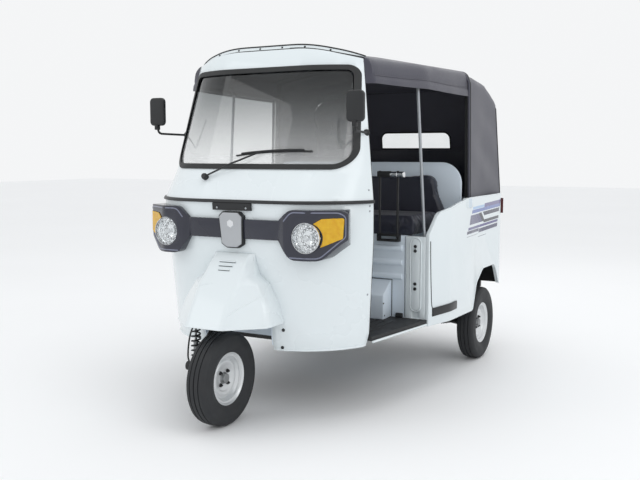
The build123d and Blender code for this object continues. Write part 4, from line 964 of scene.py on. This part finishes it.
# ---- small helpers for fittings
def heads(name, places, radius, height, steps=14):
    """Domed or, with six steps, hexagonal heads at (point, outward direction) places."""
    profile = ((-height * 0.4, radius), (height * 0.3, radius), (height * 0.8, radius * 0.75),
               (height, radius * 0.3), (height, 0.0))
    first = smooth(turned(name, profile, (0, 0, 0), "X", steps=steps), 20 if steps == 6 else 60)
    made = [copy_of(first, name + "_one", facing(point, out)) for point, out in places]
    bpy.data.objects.remove(first)
    return joined(name, *made)


def coil(name, foot, top, radius, wire, turns):
    """A coil spring between two points."""
    foot, top, steps = Vector(foot), Vector(top), turns * 14
    axis = (top - foot).normalized()
    side = axis.orthogonal().normalized()
    other = axis.cross(side)
    points = []
    for i in range(steps + 1):
        angle = math.tau * turns * (i / steps)
        points.append(foot.lerp(top, i / steps)
                      + (side * math.cos(angle) + other * math.sin(angle)) * radius)
    return bar(name, points, wire, sides=2)


# ---- lamp pods
def make_pod_lips():
    """A moulded lip round the front of each lamp pod, in a lighter finish that paints a highlight
    along the pod's edge.
    """
    outline = [(0.33, 0.834), (0.474, 0.834), (0.576, 0.932), (0.576, 1.05), (0.336, 1.05),
               (0.29, 0.998)]
    line = rounded_line(outline, (0.05, 0.03, 0.032, 0.05), 6)
    fascia, points = tree_of("lamp_band"), []
    for a, b in zip(line, line[1:]):
        for i in range(4):
            x, z = a.lerp(b, i / 4)
            hit, normal = seen(fascia, (x, near(-0.5), z), BACK)
            if normal.y < -0.25:
                points.append(hit - normal * 0.001)
    dress(both_sides(bar("pod_lips", points, 0.0034)), FASCIA_LIP_HIGHLIGHT)


make_pod_lips()


# ---- front suspension
def make_front_suspension():
    x, y, low, high = -0.144, near(-0.015), 0.288, 0.5
    spring = coil("front_coil", (x, y, low + 0.01), (x, y, high - 0.012), 0.0212, 0.0044, turns=8)
    dress(spring, POWDER, node="front_spring", body="steering")
    damper = turned("front_damper", (
        (0.0, 0.0), (0.0, 0.0125), (0.115, 0.0125), (0.118, 0.0105), (0.12, 0.006),
        (0.205, 0.006), (0.205, 0.0)), (x, y, low + 0.003), "Z", steps=28)
    dress(damper, CAST, body="steering")
    seat = ((0.0, 0.0), (0.0, 0.0262), (0.003, 0.027), (0.006, 0.0262), (0.008, 0.015),
            (0.008, 0.0))
    seats = [turned("seat", seat, (x, y, z), "Z", steps=32) for z in (low, high - 0.008)]
    dress(joined("front_spring_seats", *seats), POWDER, body="steering")
    hose = bar("brake_hose", [
        (-0.17, near(0.03), 0.5), (-0.196, near(0.01), 0.44), (-0.198, near(-0.01), 0.36),
        (-0.176, near(-0.04), 0.3), (-0.13, near(-0.045), 0.27)], 0.0042, bend=0.03)
    dress(hose, EPDM, body="steering")
    pins = heads("link_pins", [
        ((-0.131, near(-0.095), 0.3), (-1, 0, 0)), ((-0.131, near(0.0), AXLE_Z), (-1, 0, 0)),
        ((x, y, 0.272), (0, 0, -1))], 0.013, 0.012, steps=6)
    dress(pins, ZINC, body="steering")


make_front_suspension()


# ---- cab front
# brows over the wheel, from the saddle down to the flares: across, height
BROWS = (((0.206, 0.648), (0.176, 0.624), (0.141, 0.6), (0.112, 0.571), (0.094, 0.545)),
         ((-0.13, 0.672), (-0.105, 0.684), (-0.07, 0.695), (-0.033, 0.701)))


def make_nose():
    guard = tree_of("front_mudguard")
    dark, lips = [], []
    # height, half width of each slot
    for z, half in ((0.797, 0.047), (0.7795, 0.04), (0.761, 0.032)):
        ends = []
        for x in (-half, 0.0, half):
            point, normal = seen(guard, (x, near(-0.4), z), BACK)
            ends.append(point + normal * 0.0002)
        # a dark bar in each slot stands for the shade inside it: painted shade
        dark.append(bar("slot", ends, 0.0026, sides=2))
        lips.append(bar("lip", [p + Vector((0, -0.0015, 0.0045)) for p in ends], 0.0036))
    dress(joined("nose_slots", *dark), EPDM)
    dress(joined("nose_slot_lips", *lips), ENAMEL)
    brows = []
    for table in BROWS:
        spots = [seen(guard, (x, near(-0.5), z), BACK) for x, z in table]
        brows.append(bar("brow", [p - out * 0.0028 for p, out in spots], 0.0046, sides=4))
    dress(joined("mudguard_brows", *brows), ENAMEL)
    # rolled edge round the mudguard's mouth
    edge = []
    for angle in range(-90, 91, 6):
        hit = struck(guard, (0.262 * math.sin(math.radians(angle)), near(-0.6), 0.512), BACK)
        if hit is not None:
            edge.append(hit + Vector((0, 0.0015, -0.005)))
    dress(bar("mudguard_edge", edge, 0.0042), ENAMEL)

    badge = bpy.data.objects["nose_badge"]
    low, high = badge.bound_box[0], badge.bound_box[6]
    centre = Vector(((low[0] + high[0]) / 2, 0, (low[2] + high[2]) / 2))
    grow = (Matrix.Translation(centre + Vector((0, 0.0042, 0)))
            @ Matrix.Diagonal((1.09, 1.0, 1.055, 1.0)) @ Matrix.Translation(-centre))
    dress(copy_of(badge, "badge_seal", grow), EPDM)
    boss = turned("badge_boss", ((-0.002, 0.021), (0.0012, 0.021), (0.0022, 0.0195),
                                 (0.0012, 0.017), (0.0008, 0.0)), (0, 0, 0), "X", steps=6)
    place = seen(tree_of("nose_emblem"), (0, near(-0.4), 0.985), BACK)
    boss.data.transform(facing(*place))
    dress(smooth(boss, 20), CHROME, "emblem_plastic")

    cab, bracket = tree_of("front_cowl"), tree_of("plate_bracket")
    bolts = [seen(cab, (x, near(-0.5), z), BACK) for x, z in ((0.2617, 0.468), (0.25, 0.378))]
    dress(heads("nose_bolts", mirrored(bolts), 0.0085, 0.006), POWDER, "chassis_paint")
    screws = [seen(bracket, (x, near(-0.4), 1.062), BACK) for x in (-0.085, 0.085)]
    dress(heads("bracket_screws", screws, 0.0055, 0.003), ZINC)


make_nose()


def make_door_edges():
    cab = tree_of("front_cowl")
    line = [door_edge(cab, 0.44 + (1.8 - 0.44) * i / 35) for i in range(36)]
    line = [point + Vector((-0.0035, 0.0045, 0)) for point in line if point is not None]
    dress(both_sides(bar("door_edge_trim", line, 0.0046)), EPDM)
    places = [seen(cab, (BESIDE, door_edge(cab, z).y - 0.022, z), INWARD)
              for z in (0.63, 1.048, 1.073, 1.15)]
    dress(heads("cab_screws", mirrored(places), 0.0052, 0.003), ZINC)
    # the rolled lower edge
    edge = []
    for i in range(24):
        angle = math.radians(18 + 72 * i / 23)
        hit = struck(cab, (0.62 * math.sin(angle), near(-0.6), 0.372), BACK)
        if hit is not None and hit.y < near(0.44):
            edge.append(hit + Vector((0, 0.003, -0.006)))
    dress(both_sides(bar("cab_lower_edge", edge, 0.006)), ENAMEL)


make_door_edges()


# ---- roof strip
STRIP_HALF, STRIP_STEPS = 0.5, 60


def make_roof_strip():
    """The band that clamps the cloth to the cab: an upright strip between two rubber beads."""
    strip = tree_of("roof_clamp_strip")
    low, high, rivets = [], [], []
    for i in range(STRIP_STEPS + 1):
        x = -STRIP_HALF + 2 * STRIP_HALF * i / STRIP_STEPS
        hit = struck(strip, (x, near(roof_line(x, 0.008)), ABOVE), DOWN)
        if hit is None:
            continue
        front = near(roof_line(x, 0))
        fall = 0.012 * max(0.0, (abs(x) - 0.38) / 0.12) ** 2
        low.append(Vector((x, front - 0.004, hit.z - 0.01)))
        high.append(Vector((x, front + 0.004, hit.z + 0.007 - fall)))
    band = grid_sheet("clamp_band", [low, high])
    modify(band, "SOLIDIFY", thickness=CLOTH, offset=0)
    dress(smooth(band, 40), ENAMEL, node="roof_clamp_strip")
    for i in range(3, len(low) - 2, 8):
        side = (high[i + 1] - high[i - 1]).cross(high[i] - low[i]).normalized()
        side = side if side.y < 0 else -side
        rivets.append(((low[i] + high[i]) / 2 + side * 0.001, side))
    dress(heads("strip_rivets", rivets, 0.005, 0.004), POWDER)
    on_low = [p + Vector((0, -0.001, 0)) for p in low]
    beads = [bar("bead", [p + Vector((0, 0.001, 0.003)) for p in high], 0.0042),
             bar("bead", on_low, 0.0022), bar("bead", on_low[38:], 0.0046)]
    dress(joined("strip_beads", *beads), EPDM)


make_roof_strip()


# ---- windscreen wiper
def make_wiper():
    trees = [tree_of(node) for node in ("windscreen_glass", "front_cowl", "windscreen_seal")]

    def on_front(x, z, lift):
        hits = [struck(tree, (x, near(-0.6), z), BACK) for tree in trees]
        first = min((hit for hit in hits if hit is not None), key=lambda hit: hit.y)
        return first + Vector((0, -lift, lift * 0.4))

    rubber, holder = [], []
    for t in [i / 12 for i in range(13)]:
        x, z = -0.066 + 0.421 * t, 1.322 + 0.022 * t - 0.03 * (t - 0.5) ** 2
        rubber.append(on_front(x, z, 0.005))
        holder.append(on_front(x, z + 0.004, 0.012))
    dress(bar("wiper_rubber", rubber, 0.0042, sides=2), EPDM, node="wiper")
    dress(bar("wiper_blade", holder[1:-1], 0.005), BLACK_ABS)
    line = [on_front(-0.216 + 0.3 * t, 1.206 + 0.126 * t, 0.014 + 0.01 * math.sin(math.pi * t))
            for t in [i / 8 for i in range(9)]]
    arm = bar("wiper_arm", line, 0.0046)
    nut = turned("wiper_pivot", ((-0.022, 0.016), (0.004, 0.0165), (0.012, 0.013), (0.014, 0.0)),
                 (0, 0, 0), "X", steps=24)
    nut.data.transform(facing(line[0], (0, -0.9, 0.43)))
    dress(joined("wiper_arm", arm, nut), BLACK_ABS)


make_wiper()


# ---- mirrors
def make_mirrors():
    x, y, z = 0.59, near(0.272), 1.55
    half_w, half_h, thick = 0.046, 0.074, 0.014
    face = y + thick
    corners = [(x, z + half_h), (x + half_w, z + half_h), (x + half_w, z - half_h),
               (x - half_w, z - half_h), (x - half_w, z + half_h), (x, z + half_h)]
    outline = rounded_line([(a, face, b) for a, b in corners], [0.022] * 4, 6)[:-1]
    shell = plate("mirror_shells", [tuple(p) for p in outline], (0, -2 * thick, 0), 0.008,
                  segments=4)
    middle = Vector((x, 0, z))
    glass = [middle + (p - middle) * 0.88 for p in outline]
    pane = plate("mirror_panes", [(p.x, face - 0.001, p.z) for p in glass], (0, 0.0022, 0),
                 0.0006, segments=1)
    foot_y, foot_z = near(0.474), 1.43
    stalk = bar("mirror_stalks", [
        (x, y, z - half_h + 0.012), (x, y - 0.004, z - half_h - 0.024),
        (x - 0.003, y + 0.006, foot_z + 0.004), (0.556, foot_y, foot_z)], 0.0058,
        sides=4, bend=0.018)
    clamp = box("mirror_clamp", (x - 0.01, y - 0.02, z - half_h - 0.022),
                (x + 0.01, y + 0.006, z - half_h + 0.006), 0.003)
    foot = turned("mirror_foot", ((-0.006, 0.018), (0.006, 0.017), (0.012, 0.01), (0.014, 0.0)),
                  (0, 0, 0), "X", steps=20)
    foot.data.transform(facing((0.553, foot_y - 0.004, foot_z), (0.55, -0.8, 0.0)))
    dress(both_sides(shell), BLACK_ABS, node="mirrors")
    dress(both_sides(pane), MIRROR)
    dress(both_sides(joined("mirror_stalks", stalk, clamp, foot)), POWDER, "black_plastic")


make_mirrors()


# ---- doorways and body sides
def make_posts():
    foot, head = Vector((0.657, near(1.017), 0.8705)), Vector((0.604, near(1.017), 1.6855))
    bend = foot.lerp(head, 0.06) + Vector((-0.004, 0, 0))
    dress(both_sides(bar("post_tubes", [foot, bend, head], 0.0085, sides=5)), ZINC,
          "chassis_paint", "side_posts")
    pad = box("post_feet", (0.64, near(1.003), 0.8695), (0.672, near(1.031), 0.876), 0.002)
    nuts = heads("post_nut", [((0.6645, near(y), 0.877), (0, 0, 1)) for y in (1.008, 1.026)],
                 0.0045, 0.004, steps=6)
    dress(both_sides(joined("post_feet", pad, nuts)), ZINC)


def stadium(x, y, low, high, half):
    """An upright slot outline with round ends in the plane across the vehicle."""
    points, steps = [], 10
    for middle, start in ((high - half, 0), (low + half, math.pi)):
        for i in range(steps + 1):
            angle = start + math.pi * i / steps
            points.append((x + half * math.cos(angle), y, middle + half * math.sin(angle)))
    return points + points[:1]


def make_jambs():
    face = near(1.0)
    channel = plate("jamb_channels", stadium(0.611, face - 0.0005, 0.455, 0.858, 0.026)[:-1],
                    (0, -0.004, 0), 0.0015)
    rim = bar("jamb_rim", stadium(0.611, face - 0.002, 0.45, 0.863, 0.031), 0.004, sides=4)
    dress(both_sides(joined("jamb_channels", channel, rim)), ENAMEL)
    places = [((0.609, face - 0.0045, z), (0, -1, 0)) for z in (0.8147, 0.7901, 0.6052, 0.577)]
    dress(heads("jamb_bolts", mirrored(places), 0.0095, 0.008), POWDER)
    floor, waist, step = 0.412, 0.868, 0.6215
    joint = bar("bulkhead_joint", [(0.5475, face - 0.001, z) for z in (floor, waist)],
                0.0016, sides=2)
    # dark beads along the step box's edges where it meets the bulkhead are painted shadow lines
    corners = [(0.469, floor), (0.469, step), (0.0, step)]
    step_shadow_line = bar("step_joint", [(x, face - 0.0015, z) for x, z in corners], 0.0022, sides=2)
    dress(both_sides(joined("bulkhead_joints", joint, step_shadow_line)), EPDM)
    plug = box("floor_plugs", (0.496, near(0.984), 0.409), (0.538, near(1.001), 0.434), 0.004)
    dress(both_sides(plug), EPDM)
    screws = [((0.468, near(0.8856), 0.5006), (1, 0, 0)), ((0.468, near(0.9), 0.43), (1, 0, 0))]
    dress(heads("step_screws", mirrored(screws), 0.0045, 0.003), POWDER)
    # treads pressed into the floor covering
    ribs = []
    for i in range(23):
        x = -0.528 + 0.048 * i
        start = 0.5 if abs(x) > 0.2 else 0.56
        ribs.append(box("rib", (x - 0.006, near(start), 0.4075),
                        (x + 0.006, near(0.875), 0.4105), 0.001, segments=1))
    dress(joined("floor_ribs", *ribs), MAT_PVC)
    edge = bar("sill_edges", [(0.6, near(0.462), 0.383), (0.682, near(0.985), 0.383)],
               0.0065, sides=4)
    dress(both_sides(edge), ENAMEL)


# joint between the side panel and its frame: distance behind the axle, height
PANEL_JOINT = ((1.011, 0.846), (1.013, 0.76), (1.019, 0.64), (1.027, 0.52), (1.031, 0.488),
               (1.038, 0.472), (1.052, 0.463), (1.075, 0.459), (1.105, 0.457))


def make_side_panels():
    side = tree_of("body_side_left")

    def edge_points(start, end, z0, limit, step, lift):
        """Where the panel's outer face begins, looking up or down from z0 along its length."""
        found = []
        for i in range(41):
            y, z = start + (end - start) * i / 40, z0
            while abs(z - z0) < abs(limit - z0):
                hit = struck(side, (BESIDE, near(y), z), INWARD)
                if hit is not None and hit.x > 0.6:
                    found.append(hit + Vector(lift))
                    break
                z += step
        return found

    spots = [seen(side, (BESIDE, near(y), z), INWARD) for y, z in PANEL_JOINT]
    gap = bar("panel_joint", [point + normal * 0.0002 for point, normal in spots], 0.003, sides=2)
    dress(both_sides(gap), EPDM)
    # folded edge along the waistline and round the arch
    waist = edge_points(1.1, 2.2, 1.3, 0.9, -0.003, (-0.004, 0, -0.001))
    arch = edge_points(1.64, 2.215, 0.3, 0.9, 0.003, (-0.003, 0, 0.002))
    rolls = joined("side_rolls", bar("waist_roll", waist, 0.0056, sides=4),
                   bar("arch_roll", arch, 0.005, sides=4))
    dress(both_sides(rolls), ENAMEL)
    # bracket where the roof's rear arch stands on the waist
    x = struck(side, (BESIDE, near(1.56), 1.022), INWARD).x
    saddle = box("arch_brackets", (x - 0.03, near(1.5), 1.0), (x + 0.006, near(1.612), 1.062),
                 0.01, segments=3)
    dress(both_sides(saddle), ENAMEL)
    # the ridges take the darkened inner enamel: painted shade on the white bracket
    ridges = [box("ridge", (x - 0.028, near(y), 1.004), (x + 0.0085, near(y + 0.008), 1.058))
              for y in (1.525, 1.548, 1.571)]
    dress(both_sides(joined("bracket_ridges", *ridges)), SHADED_ENAMEL)


make_posts()
make_jambs()
make_side_panels()


# ---- hood trim
def make_hood_trim():
    line = [Vector((x, near(1.624), z)) + Vector((math.copysign(0.002, x), 0, 0.002))
            for x, z in roof_row(HOOD_TABLE, 1.622, 61)]
    dress(bar("hood_arch_roll", line, 0.0075, sides=4), CANVAS)
    cord = [p + Vector((0.003, 0.02, 0)) for p in line if p.z < 1.8 and p.x > 0]
    dress(both_sides(bar("hood_cords", cord, 0.0032)), EPDM)
    height = HOOD_HEM + 0.018
    studs = mirrored([((0.7035, near(y), height), (1, 0, 0))
                      for y in (1.72, 1.83, 1.94, 2.05, 2.16)])
    studs += [((x, near(back_plane(height)) + 0.001, height), (0, 1, 0))
              for x in (-0.6, -0.4, -0.2, 0.0, 0.2, 0.4, 0.6)]
    dress(heads("hood_studs", studs, 0.0065, 0.005), ZINC)
    half, low, high = 0.61, 1.1, 1.35
    corners = [(-half, low), (half, low), (half, high), (-half, high)]
    lining = plate("hood_lining", [(x, near(back_plane(z)) - 0.026, z) for x, z in corners],
                   (0, 0.003, 0), 0.001)
    dress(lining, LEATHERCLOTH)


make_hood_trim()


# ---- back of the body
def make_back():
    outside = struck(tree_of("engine_lid"), (0, BEHIND, 0.62), AHEAD).y
    blades, shades = [], []
    half = 0.13
    for centre in (-0.2, 0.2):
        for z in [0.6 + 0.03 * i for i in range(6)]:
            outline = [(-0.001, 0), (0.008, 0.003), (0.0075, 0.006), (-0.001, 0.021)]
            points = [(centre - half, outside + out, z + up) for out, up in outline]
            blades.append(plate("blade", points, (2 * half, 0, 0), 0.0012, segments=1))
            # dark boxes behind the blades: painted shade between the louvres
            shades.append(box("shade", (centre - half + 0.004, outside - 0.001, z - 0.0055),
                              (centre + half - 0.004, outside + 0.0012, z + 0.0012), 0))
    dress(joined("lid_louvres", *blades), ENAMEL, body="engine_lid")
    dress(joined("lid_louvre_slots", *shades), EPDM, "black_plastic", body="engine_lid")
    sign = box("rear_plate", (-0.17, outside + 0.0005, 0.805), (0.17, outside + 0.004, 0.885),
               0.001)
    dress(sign, SATIN, "bright_steel", body="engine_lid")
    bolts = [((x, outside + 0.004, 0.845), (0, 1, 0)) for x in (-0.15, 0.15)]
    dress(heads("plate_bolts", bolts, 0.006, 0.004, steps=6), ZINC, body="engine_lid")
    latch = turned("lid_latch", ((0.0, 0.024), (0.003, 0.024), (0.005, 0.021), (0.005, 0.008),
                                 (0.003, 0.006), (0.003, 0.0)), (0, outside, 0.778), "Y", steps=28)
    dress(latch, CHROME, body="engine_lid")
    # seam round the lid
    back = tree_of("rear_panel")
    ring = [(-0.438, 0.512), (0.438, 0.512), (0.438, 0.918), (-0.438, 0.918), (-0.438, 0.512)]
    line = []
    for (x0, z0), (x1, z1) in zip(ring, ring[1:]):
        for x, z in zip(between(x0, x1, 8), between(z0, z1, 8)):
            hit = struck(back, (x, BEHIND, z), AHEAD)
            if hit is not None and abs(hit.y - outside) < 0.02:
                line.append(hit)
    dress(bar("lid_seal", line, 0.003, sides=2), EPDM)
    # ribs across the tail lamps
    low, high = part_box("tail_lamps")
    ribs = []
    for i in range(9):
        z = low[2] + 0.012 + (high[2] - low[2] - 0.024) * i / 8
        ribs.append(box("rib", (0.64, high[1] - 0.002, z - 0.0012),
                        (0.7, high[1] + 0.0015, z + 0.0012), 0))
    dress(both_sides(joined("tail_lamp_ribs", *ribs)), RED)


make_back()


# ---- running gear
def make_rear_gear():
    low, high = corners_of("rear_springs")
    x, y, height = high.x - 0.038, (low.y + high.y) / 2, high.z - low.z
    wire = coil("rear_coils", (x, y, low.z + 0.01), (x, y, high.z - 0.01), 0.0315, 0.0058, turns=7)
    dress(both_sides(wire), POWDER, node="rear_springs")
    tube = turned("rear_dampers", (
        (0.0, 0.0), (0.0, 0.037), (0.005, 0.037), (0.007, 0.019), (0.12, 0.019), (0.123, 0.008),
        (0.232, 0.008), (0.234, 0.037), (height, 0.037), (height, 0.0)),
        (x, y, low.z), "Z", steps=32)
    dress(both_sides(tube), CAST)
    low, high = corners_of("engine_block")
    fins = []
    for i in range(12):
        y = low.y + 0.02 + i * (high.y - low.y - 0.04) / 11
        fins.append(box("fin", (low.x - 0.01, y - 0.003, low.z + 0.1),
                        (high.x + 0.01, y + 0.003, high.z - 0.02), 0.001, segments=1))
    dress(joined("engine_fins", *fins), CAST, "engine_alloy")
    sump = box("engine_sump", (low.x + 0.04, low.y + 0.04, low.z - 0.012),
               (high.x - 0.04, high.y - 0.04, low.z + 0.01), 0.006, segments=3)
    cover = turned("cover", ((-0.006, 0.0), (-0.006, 0.085), (0.006, 0.085), (0.014, 0.075),
                             (0.016, 0.0)),
                   ((low.x + high.x) / 2 + 0.06, high.y - 0.002, low.z + 0.14), "Y", steps=40)
    dress(joined("engine_covers", sump, cover), CAST, "engine_alloy")
    # bellows on the drive shafts
    boots, pitch = [], 0.011
    for start in (0.214, 0.43):
        profile = [(0.0, 0.016)]
        for i in range(6):
            profile += [(0.006 + i * pitch, 0.036 - i * 0.002),
                        (0.0115 + i * pitch, 0.026 - i * 0.002)]
        profile += [(0.078, 0.016), (0.078, 0.0)]
        boots.append(turned("boot", [(a + start, r) for a, r in profile],
                            (0, REAR_AXLE_Y, AXLE_Z), "X", steps=28))
    dress(both_sides(joined("shaft_boots", *boots)), EPDM)
    low, high = corners_of("exhaust")
    centre, reach, radius = (low + high) / 2, (high.x - low.x) / 2, (high.z - low.z) / 2
    strap = ((-0.01, radius), (-0.01, radius + 0.0022), (0.01, radius + 0.0022), (0.01, radius))
    bands = [turned("band", strap, (centre.x + x, high.y - radius, centre.z), "X", steps=40)
             for x in (-reach * 0.6, reach * 0.6)]
    dress(joined("exhaust_straps", *bands), POWDER, "chassis_paint")


make_rear_gear()


# ---- controls
def make_controls():
    y, z = near(0.358), 1.012
    head = box("headset", (-0.085, y - 0.05, z - 0.01), (0.085, y + 0.05, z + 0.052), 0.016,
               segments=4)
    dress(head, BLACK_ABS, body="steering")
    place = (0, y + 0.004, z + 0.05)
    dial = turned("speed_dial", ((0.0, 0.0), (0.0, 0.036), (0.006, 0.038), (0.009, 0.036),
                                 (0.006, 0.034), (0.006, 0.0)), place, "Z", steps=36)
    dress(dial, CHROME, body="steering")
    glass = turned("dial_glass", ((0.0065, 0.0), (0.0065, 0.0335), (0.0085, 0.0335),
                                  (0.0085, 0.0)), place, "Z", steps=36)
    dress(glass, CLEAR, body="steering")
    levers = bar("hand_levers", [(0.175, near(0.345), 1.01), (0.185, near(0.322), 1.006),
                                 (0.235, near(0.33), 1.004), (0.3, near(0.366), 1.008)],
                 0.0048, bend=0.008)
    perch = box("perch", (0.16, near(0.336), 0.992), (0.19, near(0.376), 1.022), 0.005)
    dress(both_sides(joined("hand_levers", levers, perch)), POWDER, body="steering")
    pedal = box("pedal", (-0.16, near(0.478), 0.47), (-0.09, near(0.492), 0.52), 0.003)
    arm = bar("pedal_arm", [(-0.125, near(0.5), 0.409), (-0.125, near(0.489), 0.495)],
              0.006)
    dress(joined("brake_pedal", pedal, arm), POWDER, "chassis_paint")


make_controls()


# ---- grab frames
def make_grab_frames():
    rods, front, face = near(0.978), near(0.964), near(0.9995)
    pieces = [bar("rod", [(x, rods, 0.86), (x, rods, 1.232)], 0.0068, sides=4)
              for x in (0.4, 0.508)]
    for name, z in (("foot", 0.838), ("foot_top", 0.868)):
        pieces.append(box(name, (0.388, front, z), (0.52, face, z + 0.012), 0.003))
    for x in (0.394, 0.514):
        pieces.append(box("lug", (x - 0.007, near(0.966), 0.838), (x + 0.007, face, 0.88)))
    pieces.append(box("head", (0.386, front, 1.196), (0.47, near(0.992), 1.23), 0.004))
    dress(both_sides(joined("grab_rods", *pieces)), POWDER, "chassis_paint", "grab_frames")
    roll = ((-0.02, 0.0), (-0.02, 0.015), (-0.017, 0.0168), (0.017, 0.0168), (0.02, 0.015),
            (0.02, 0.0))
    rolls = [turned("roll", roll, (x, rods, 1.212), "X", steps=32) for x in (0.486, 0.526)]
    dress(both_sides(joined("grab_rollers", *rolls)), CHROME)


make_grab_frames()

# ---- floor, light and camera
# place, aim, size, power
LIGHTS = (
    ((-4.0, -5.0, 4.5), (0.0, 0.0, 0.9), 2.5, 18.0),
    ((5.0, -2.0, 4.2), (0.0, 0.0, 0.9), 2.5, 30.0),
    ((0.0, 4.5, 4.5), (0.0, 0.0, 1.0), 3.0, 20.0),
    ((0.5, -0.5, 6.0), (0.0, 0.0, 1.0), 4.0, 40.0),
)
AIR_COLOUR, AIR_STRENGTH = "#FAFBFC", 0.95


def stage():
    deselect()
    bpy.ops.mesh.primitive_plane_add(size=60, location=(0, 0, 0))
    floor = bpy.context.object
    floor.name = "studio_floor"
    # matt paper floor
    paper = material("studio_paper", "#F4F5F6", "#F8F9FA", 0.5, (0.75, 0.85))[0]
    floor.data.materials.append(paper)
    for i, (where, aim, size, power) in enumerate(LIGHTS):
        deselect()
        bpy.ops.object.light_add(type="AREA", location=where)
        lamp = bpy.context.object
        lamp.name = f"studio_light_{i}"
        lamp.data.size = size
        lamp.data.energy = power
        lamp.rotation_euler = (Vector(aim) - Vector(where)).to_track_quat("-Z", "Y").to_euler()
    world = bpy.data.worlds.new("studio_air")
    world.use_nodes = True
    air = world.node_tree.nodes["Background"]
    air.inputs[0].default_value = colour(AIR_COLOUR)
    air.inputs[1].default_value = AIR_STRENGTH
    bpy.context.scene.world = world
    bpy.context.scene.view_settings.view_transform = "Standard"
    bpy.ops.object.camera_add(location=(2.319, -4.3468, 1.324),
                              rotation=(math.radians(84.1), 0, math.radians(28.4)))
    camera = bpy.context.object
    camera.data.lens = 46.7
    camera.data.sensor_width = 36
    bpy.context.scene.camera = camera


stage()
